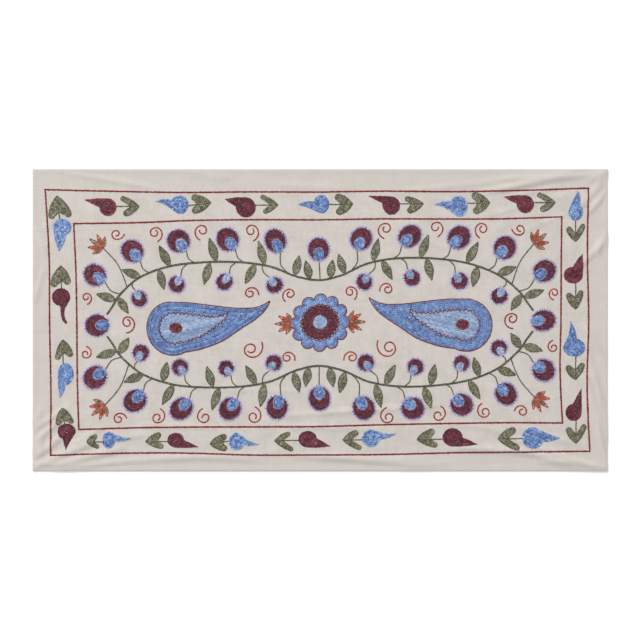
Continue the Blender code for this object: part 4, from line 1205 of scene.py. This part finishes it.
# Leaves along the main stem: base, direction in degrees and length
leaves = (
    (0.022, 0.099, 78, 0.044),
    (0.056, 0.108, 104, 0.048),
    (0.122, 0.133, 76, 0.055),
    (0.142, 0.136, -64, 0.050),
    (0.226, 0.139, 72, 0.055),
    (0.240, 0.138, -76, 0.050),
    (0.326, 0.128, 62, 0.053),
    (0.350, 0.122, -102, 0.046),
    (0.392, 0.105, 22, 0.046),
    (0.446, 0.061, -122, 0.042),
    (0.450, 0.0545, 18, 0.048),
)
fan = Flower(0.474, 0.171, 0.424, 0.083)
fanLeaves = ((-62, 0.030), (-31, 0.038), (0, 0.042), (31, 0.038), (62, 0.030))


def leafOutline(x, y, turn, length, width):
    # A pointed leaf, widest a little before its middle
    run = np.linspace(0.0, 1.0, 30)
    half = width / 2.0 * np.sin(math.pi * run ** vineShape["leafFullness"])
    u = np.concatenate([run, run[-2:0:-1]]) * length
    v = np.concatenate([half, -half[-2:0:-1]])
    return turnedAbout((x, y), u, v, turn)


def sideStem(flower, reach, bend):
    turn = math.atan2(flower.fromY - flower.y, flower.fromX - flower.x)
    endX, endY = flower.x + reach * math.cos(turn), flower.y + reach * math.sin(turn)
    middle = ((flower.fromX + endX) / 2.0 - bend * (endY - flower.fromY),
              (flower.fromY + endY) / 2.0 + bend * (endX - flower.fromX))
    return smoothPath([(flower.fromX, flower.fromY), middle, (endX, endY)], 8)


def sewFan(sewn, base, turn, flipX, flipY):
    for number, (spread, length) in enumerate(fanLeaves):
        outline = leafOutline(*base, math.radians(turn + spread), length, vineShape["fanLeafWidth"])
        outline = inField(outline, flipX, flipY)
        sewEdge(sewn, outline, "orange", **vineShape["fanRim"])
        fillRings(sewn, outline, "orange" if number % 2 else "olive", first=1.5, length=0.0030)


def makeVine(row, flipY):
    sewn = Sewn()
    quarter = smoothPath([(-mainStem[1][0], mainStem[1][1]), *mainStem], 10)[10:]
    whole = np.vstack([quarter[:0:-1] * (-1, 1), quarter])
    side = leftOf(np.gradient(whole, axis=0))
    for flip in (-1, 1):
        # Two rows side by side
        offset = side * flip * vineShape["mainWidth"] / 4.0
        sewRow(sewn, inField(whole + offset, 1, flipY), "stem", **vineShape["mainStitch"])
    discReach = discShape["radius"] * discShape["long"] - vineShape["stemLap"]
    blossomReach = blossomShape["radius"] - vineShape["stemLap"]
    for flipX in (-1, 1):
        stems = [sideStem(flower, discReach, -vineShape["bend"]) for flower in discs]
        stems += [sideStem(flower, blossomReach, vineShape["bend"]) for flower in blossoms]
        stems.append(sideStem(fan, -vineShape["fanLap"], vineShape["bend"] / 2))
        for stem in stems:
            sewRow(sewn, inField(stem, flipX, flipY), "stem", width=vineShape["sideWidth"])
        for x, y, turn, length in leaves:
            turn = math.radians(turn)
            outline = inField(leafOutline(x, y, turn, length, vineShape["leafWidth"]), flipX, flipY)
            turn = math.atan2(flipY * math.sin(turn), flipX * math.cos(turn))
            sewLeaf(sewn, outline, turn + math.radians(leafStitch["turn"]))
        for flower in blossoms:
            sewFlower(sewn, flower, blossomShape, flipX, flipY)
        sewFan(sewn, (fan.x, fan.y), vineShape["fanTurn"], flipX, flipY)
    stem = inField(sideStem(middleDisc, discReach, 0.0), 1, flipY)
    sewRow(sewn, stem, "stem", width=vineShape["sideWidth"])
    finishPiece(sewn, f"vine_{row}_stitches", [f"vine_{row}"])


makeVine("upper", 1)
makeVine("lower", -1)

# The rows of the large shapes
boldRow = {"pitch": 0.0046, "length": 0.0050, "width": 0.0066, "height": 0.0013, "spread": 0.08}
redEdge = {"width": 0.0034, "shade": 0.42}
scallops = {
    "length": 0.0095,
    "depth": 0.0022,
    "steps": 8,
    "stitch": {"length": 0.0028, "width": 0.0028, "height": 0.0018, "shade": 0.4},
}

botehShape = {
    "tip": (0.106, 0.056),
    "upper": ((0.138, 0.041), (0.180, 0.040), (0.232, 0.046), (0.285, 0.052)),
    "body": (0.326, -0.006),
    "radius": 0.059,
    "lower": ((0.262, -0.052), (0.214, -0.036), (0.172, -0.010), (0.138, 0.012), (0.117, 0.033)),
    "arc": (96, -118),
    "eye": (0.318, -0.004),
    "eyeRim": {"width": 0.0024, "height": 0.0015},
    "inner": 0.56,          # size of the light middle
    "innerTurn": -14,       # of its wavy rows, in degrees
    "innerRows": {"inset": 0.0012, "wave": 0.0016, "waveLength": 0.013},
}


def botehOutline():
    first, last = (math.radians(a) for a in botehShape["arc"])
    cx, cy = botehShape["body"]
    arc = [(cx + botehShape["radius"] * math.cos(a), cy + botehShape["radius"] * math.sin(a))
           for a in np.linspace(first, last, 60)]
    upper = smoothPath([botehShape["tip"], *botehShape["upper"], arc[0]], 10)
    lower = smoothPath([arc[-1], *botehShape["lower"], botehShape["tip"]], 10)
    return np.vstack([upper[:-1], arc, lower[1:-1]])


def sewScallops(sewn, outline):
    # A red row that goes round in small points
    steps = scallops["steps"]
    path = evenly(outline, scallops["length"] / steps)
    side = leftOf(np.roll(path, -1, axis=0) - np.roll(path, 1, axis=0))
    wave = np.abs((np.arange(len(path)) / steps) % 1.0 * 2.0 - 1.0)
    path = path - side * (scallops["depth"] * (wave - 0.5) * 2.0)[:, None]
    sewRow(sewn, path, "red", closed=True, **scallops["stitch"])


def makeBoteh(half, flipX):
    sewn = Sewn()
    whole = botehOutline()
    eyeAt = np.array(botehShape["eye"])
    inner = inField(eyeAt + (whole - eyeAt) * botehShape["inner"], flipX)
    whole = inField(whole, flipX)
    eye = inField(oval(eyeAt, discShape["heartLong"], discShape["heartWide"], 0.0), flipX)
    sewEdge(sewn, whole, "red", **redEdge)
    fillRings(sewn, whole, "blue", first=1.0, shade=0.46, keep=notIn(inner), **boldRow)
    sewScallops(sewn, inner)
    turn = fieldPlace["tilt"] + flipX * math.radians(botehShape["innerTurn"])
    fillHatch(sewn, inner, "lightBlue", turn, keep=notIn(eye), **botehShape["innerRows"], **boldRow)
    sewEdge(sewn, eye, "red", **botehShape["eyeRim"])
    fillRings(sewn, eye, "burgundy", first=1.5, height=0.0014)
    finishPiece(sewn, f"boteh_{half}_stitches", [f"boteh_{half}"])


makeBoteh("left", -1)
makeBoteh("right", 1)

rosetteShape = {
    "radius": 0.066,
    "valley": 0.056,     # radius between two petals
    "petals": 12,
    "bulge": 0.7,
    "core": 0.040,
    "centre": 0.0150,
    "fanAt": 0.060,
}


def makeRosette():
    sewn = Sewn()
    angle = np.linspace(0.0, 2.0 * math.pi, 361)[:-1]
    bulge = np.abs(np.cos(angle * rosetteShape["petals"] / 2.0)) ** rosetteShape["bulge"]
    radius = rosetteShape["valley"] + (rosetteShape["radius"] - rosetteShape["valley"]) * bulge
    petals = inField(np.column_stack([radius * np.cos(angle), radius * np.sin(angle)]))
    core = inField(oval((0.0, 0.0), rosetteShape["core"], rosetteShape["core"], 0.0, 120))
    centre = inField(oval((0.0, 0.0), rosetteShape["centre"], rosetteShape["centre"], 0.0, 80))
    sewEdge(sewn, petals, "red", **redEdge)
    fillRings(sewn, petals, "blue", first=1.0, shade=0.46, keep=notIn(core), **boldRow)
    sewScallops(sewn, core)
    fillRings(sewn, core, "burgundy", first=1.2, shade=0.48, keep=notIn(centre))
    fillRings(sewn, centre, "lightBlue", height=0.0014)
    for flipX in (-1, 1):
        sewFan(sewn, (rosetteShape["fanAt"], 0.0), 0, flipX, 1)
    finishPiece(sewn, "rosette_stitches", ["rosette"])


makeRosette()

spiralShape = {
    "stitch": {"width": 0.0044, "length": 0.0036, "height": 0.0008},
    "loop": 0.42,       # reach of the curl against the open end's
    "grows": 0.25,      # and how much of that it gains on its way
    "opens": 0.42,      # the share of the way that is curl
    "opening": 1.4,
}
# Single rows that curl up at one end: middle of the curl, reach of the open end, turns, where the
# open end lies in degrees, spin, and the flips of the field that they are sewn in
everyQuarter = ((1, 1), (-1, 1), (1, -1), (-1, -1))
bothHalves = ((1, 1), (-1, 1))
spirals = (
    (0.152, 0.2065, 0.0220, 1.35, 258, 1, everyQuarter),
    (0.257, 0.2060, 0.0210, 1.25, 285, -1, everyQuarter),
    (0.361, 0.2020, 0.0205, 1.4, 250, 1, everyQuarter),
    (0.444, 0.2040, 0.0180, 1.3, 185, -1, everyQuarter),
    (0.518, 0.062, 0.0160, 1.3, 262, 1, everyQuarter),
    (0.066, 0.066, 0.0190, 1.4, 300, -1, bothHalves),
    (0.428, 0.006, 0.0220, 1.5, 275, 1, bothHalves),
    (0.152, 0.070, 0.0185, 1.4, 190, 1, bothHalves),
    (0.150, -0.054, 0.0280, 1.5, 150, -1, bothHalves),
    (0.070, -0.078, 0.0180, 1.4, 200, 1, bothHalves),
)


def makeSpirals():
    sewn = Sewn()
    shape, run = spiralShape, np.linspace(0.0, 1.0, 90)
    curl = shape["loop"] * (1.0 - shape["grows"] + shape["grows"] * run)
    opening = np.clip((run - shape["opens"]) / (1.0 - shape["opens"]), 0.0, 1.0) ** shape["opening"]
    for x, y, size, turns, start, spin, quarters in spirals:
        reach = size * (curl + (1.0 - shape["loop"]) * opening)
        angle = math.radians(start) - spin * (1.0 - run) * 2.0 * math.pi * turns
        for flipX, flipY in quarters:
            path = np.column_stack([x + reach * np.cos(angle), y + reach * np.sin(angle)])
            sewRow(sewn, inField(path, flipX, flipY), "brick", **shape["stitch"])
    finishPiece(sewn, "spirals_stitches", [])


makeSpirals()

hemStitching = {
    "inset": 0.0084,     # from the cloth's edge
    "spacing": 0.0085,
    "size": (0.0016, 0.0007, 0.00035),
    "lean": math.radians(24),
}


def makeHemStitches():
    # Small stitches in thread of the cloth's own colour
    sewn = Sewn()
    halfX, halfY = cloth["length"] / 2 - hemStitching["inset"], cloth["width"] / 2 - hemStitching["inset"]
    corners = [(-halfX, -halfY), (halfX, -halfY), (halfX, halfY), (-halfX, halfY)]
    for number in range(4):
        start, end = np.array(corners[number]), np.array(corners[(number + 1) % 4])
        count = int(np.hypot(*(end - start)) / hemStitching["spacing"])
        places = start + (end - start) * ((np.arange(count) + 0.5) / count)[:, None]
        turn = math.atan2(*(end - start)[::-1]) + hemStitching["lean"]
        sewn.add(places, np.full(count, turn), "cream", *hemStitching["size"], np.full(count, 0.5))
    finishPiece(sewn, "hem_stitches", [])


makeHemStitches()


stage = {"size": 80.0, "drop": 0.0002, "colour": (0.985, 0.985, 0.98, 1.0), "roughness": 0.95}


def makeStage():
    deselectAll()
    bpy.ops.mesh.primitive_plane_add(size=stage["size"], location=(0.0, 0.0, -stage["drop"]))
    floor = bpy.context.object
    floor.name = "floor"
    paper, _, shader = newMaterial("paleFloor", specular=0.0, sheen=0.0)
    shader.inputs["Base Color"].default_value = stage["colour"]
    shader.inputs["Roughness"].default_value = stage["roughness"]
    floor.data.materials.append(paper)


# The lamp's angles are in degrees: down from straight above, and round from the right
light = {"sky": 0.735, "strength": 2.3, "distance": 13.0, "size": 2.6, "fromTop": 60.0, "around": 125.0}


def makeLight():
    world = bpy.data.worlds.new("studio")
    bpy.context.scene.world = world
    world.use_nodes = True
    back = world.node_tree.nodes["Background"]
    back.inputs["Color"].default_value = (1.0, 1.0, 1.0, 1.0)
    back.inputs["Strength"].default_value = light["sky"]
    deselectAll()
    # A square lamp that shines down from the upper left
    fromTop, around = math.radians(light["fromTop"]), math.radians(light["around"])
    away = np.array([math.sin(fromTop) * math.cos(around), math.sin(fromTop) * math.sin(around),
                     math.cos(fromTop)])
    bpy.ops.object.light_add(type="AREA", location=away * light["distance"], rotation=(0.0, fromTop, around))
    window = bpy.context.object
    window.name = "windowLight"
    window.data.size = light["size"]
    window.data.energy = light["strength"] * math.pi * light["distance"] ** 2
    bpy.context.scene.view_settings.view_transform = "Standard"


camera = {"lens": 85.0, "sensor": 36.0, "widthAtCloth": 1.4138, "clothTop": 0.002}


def makeCamera():
    deselectAll()
    distance = camera["widthAtCloth"] * camera["lens"] / camera["sensor"]
    height = distance + camera["clothTop"]
    bpy.ops.object.camera_add(location=(0.0, 0.0, height), rotation=(0.0, 0.0, 0.0))
    eye = bpy.context.object
    eye.name = "camera"
    eye.data.lens = camera["lens"]
    eye.data.sensor_width = camera["sensor"]
    eye.data.dof.use_dof = False
    bpy.context.scene.camera = eye


makeStage()
makeLight()
makeCamera()
for model in (stitchModel, spikeModel):
    bpy.data.objects.remove(model, do_unlink=True)
print("stage, light and camera set")
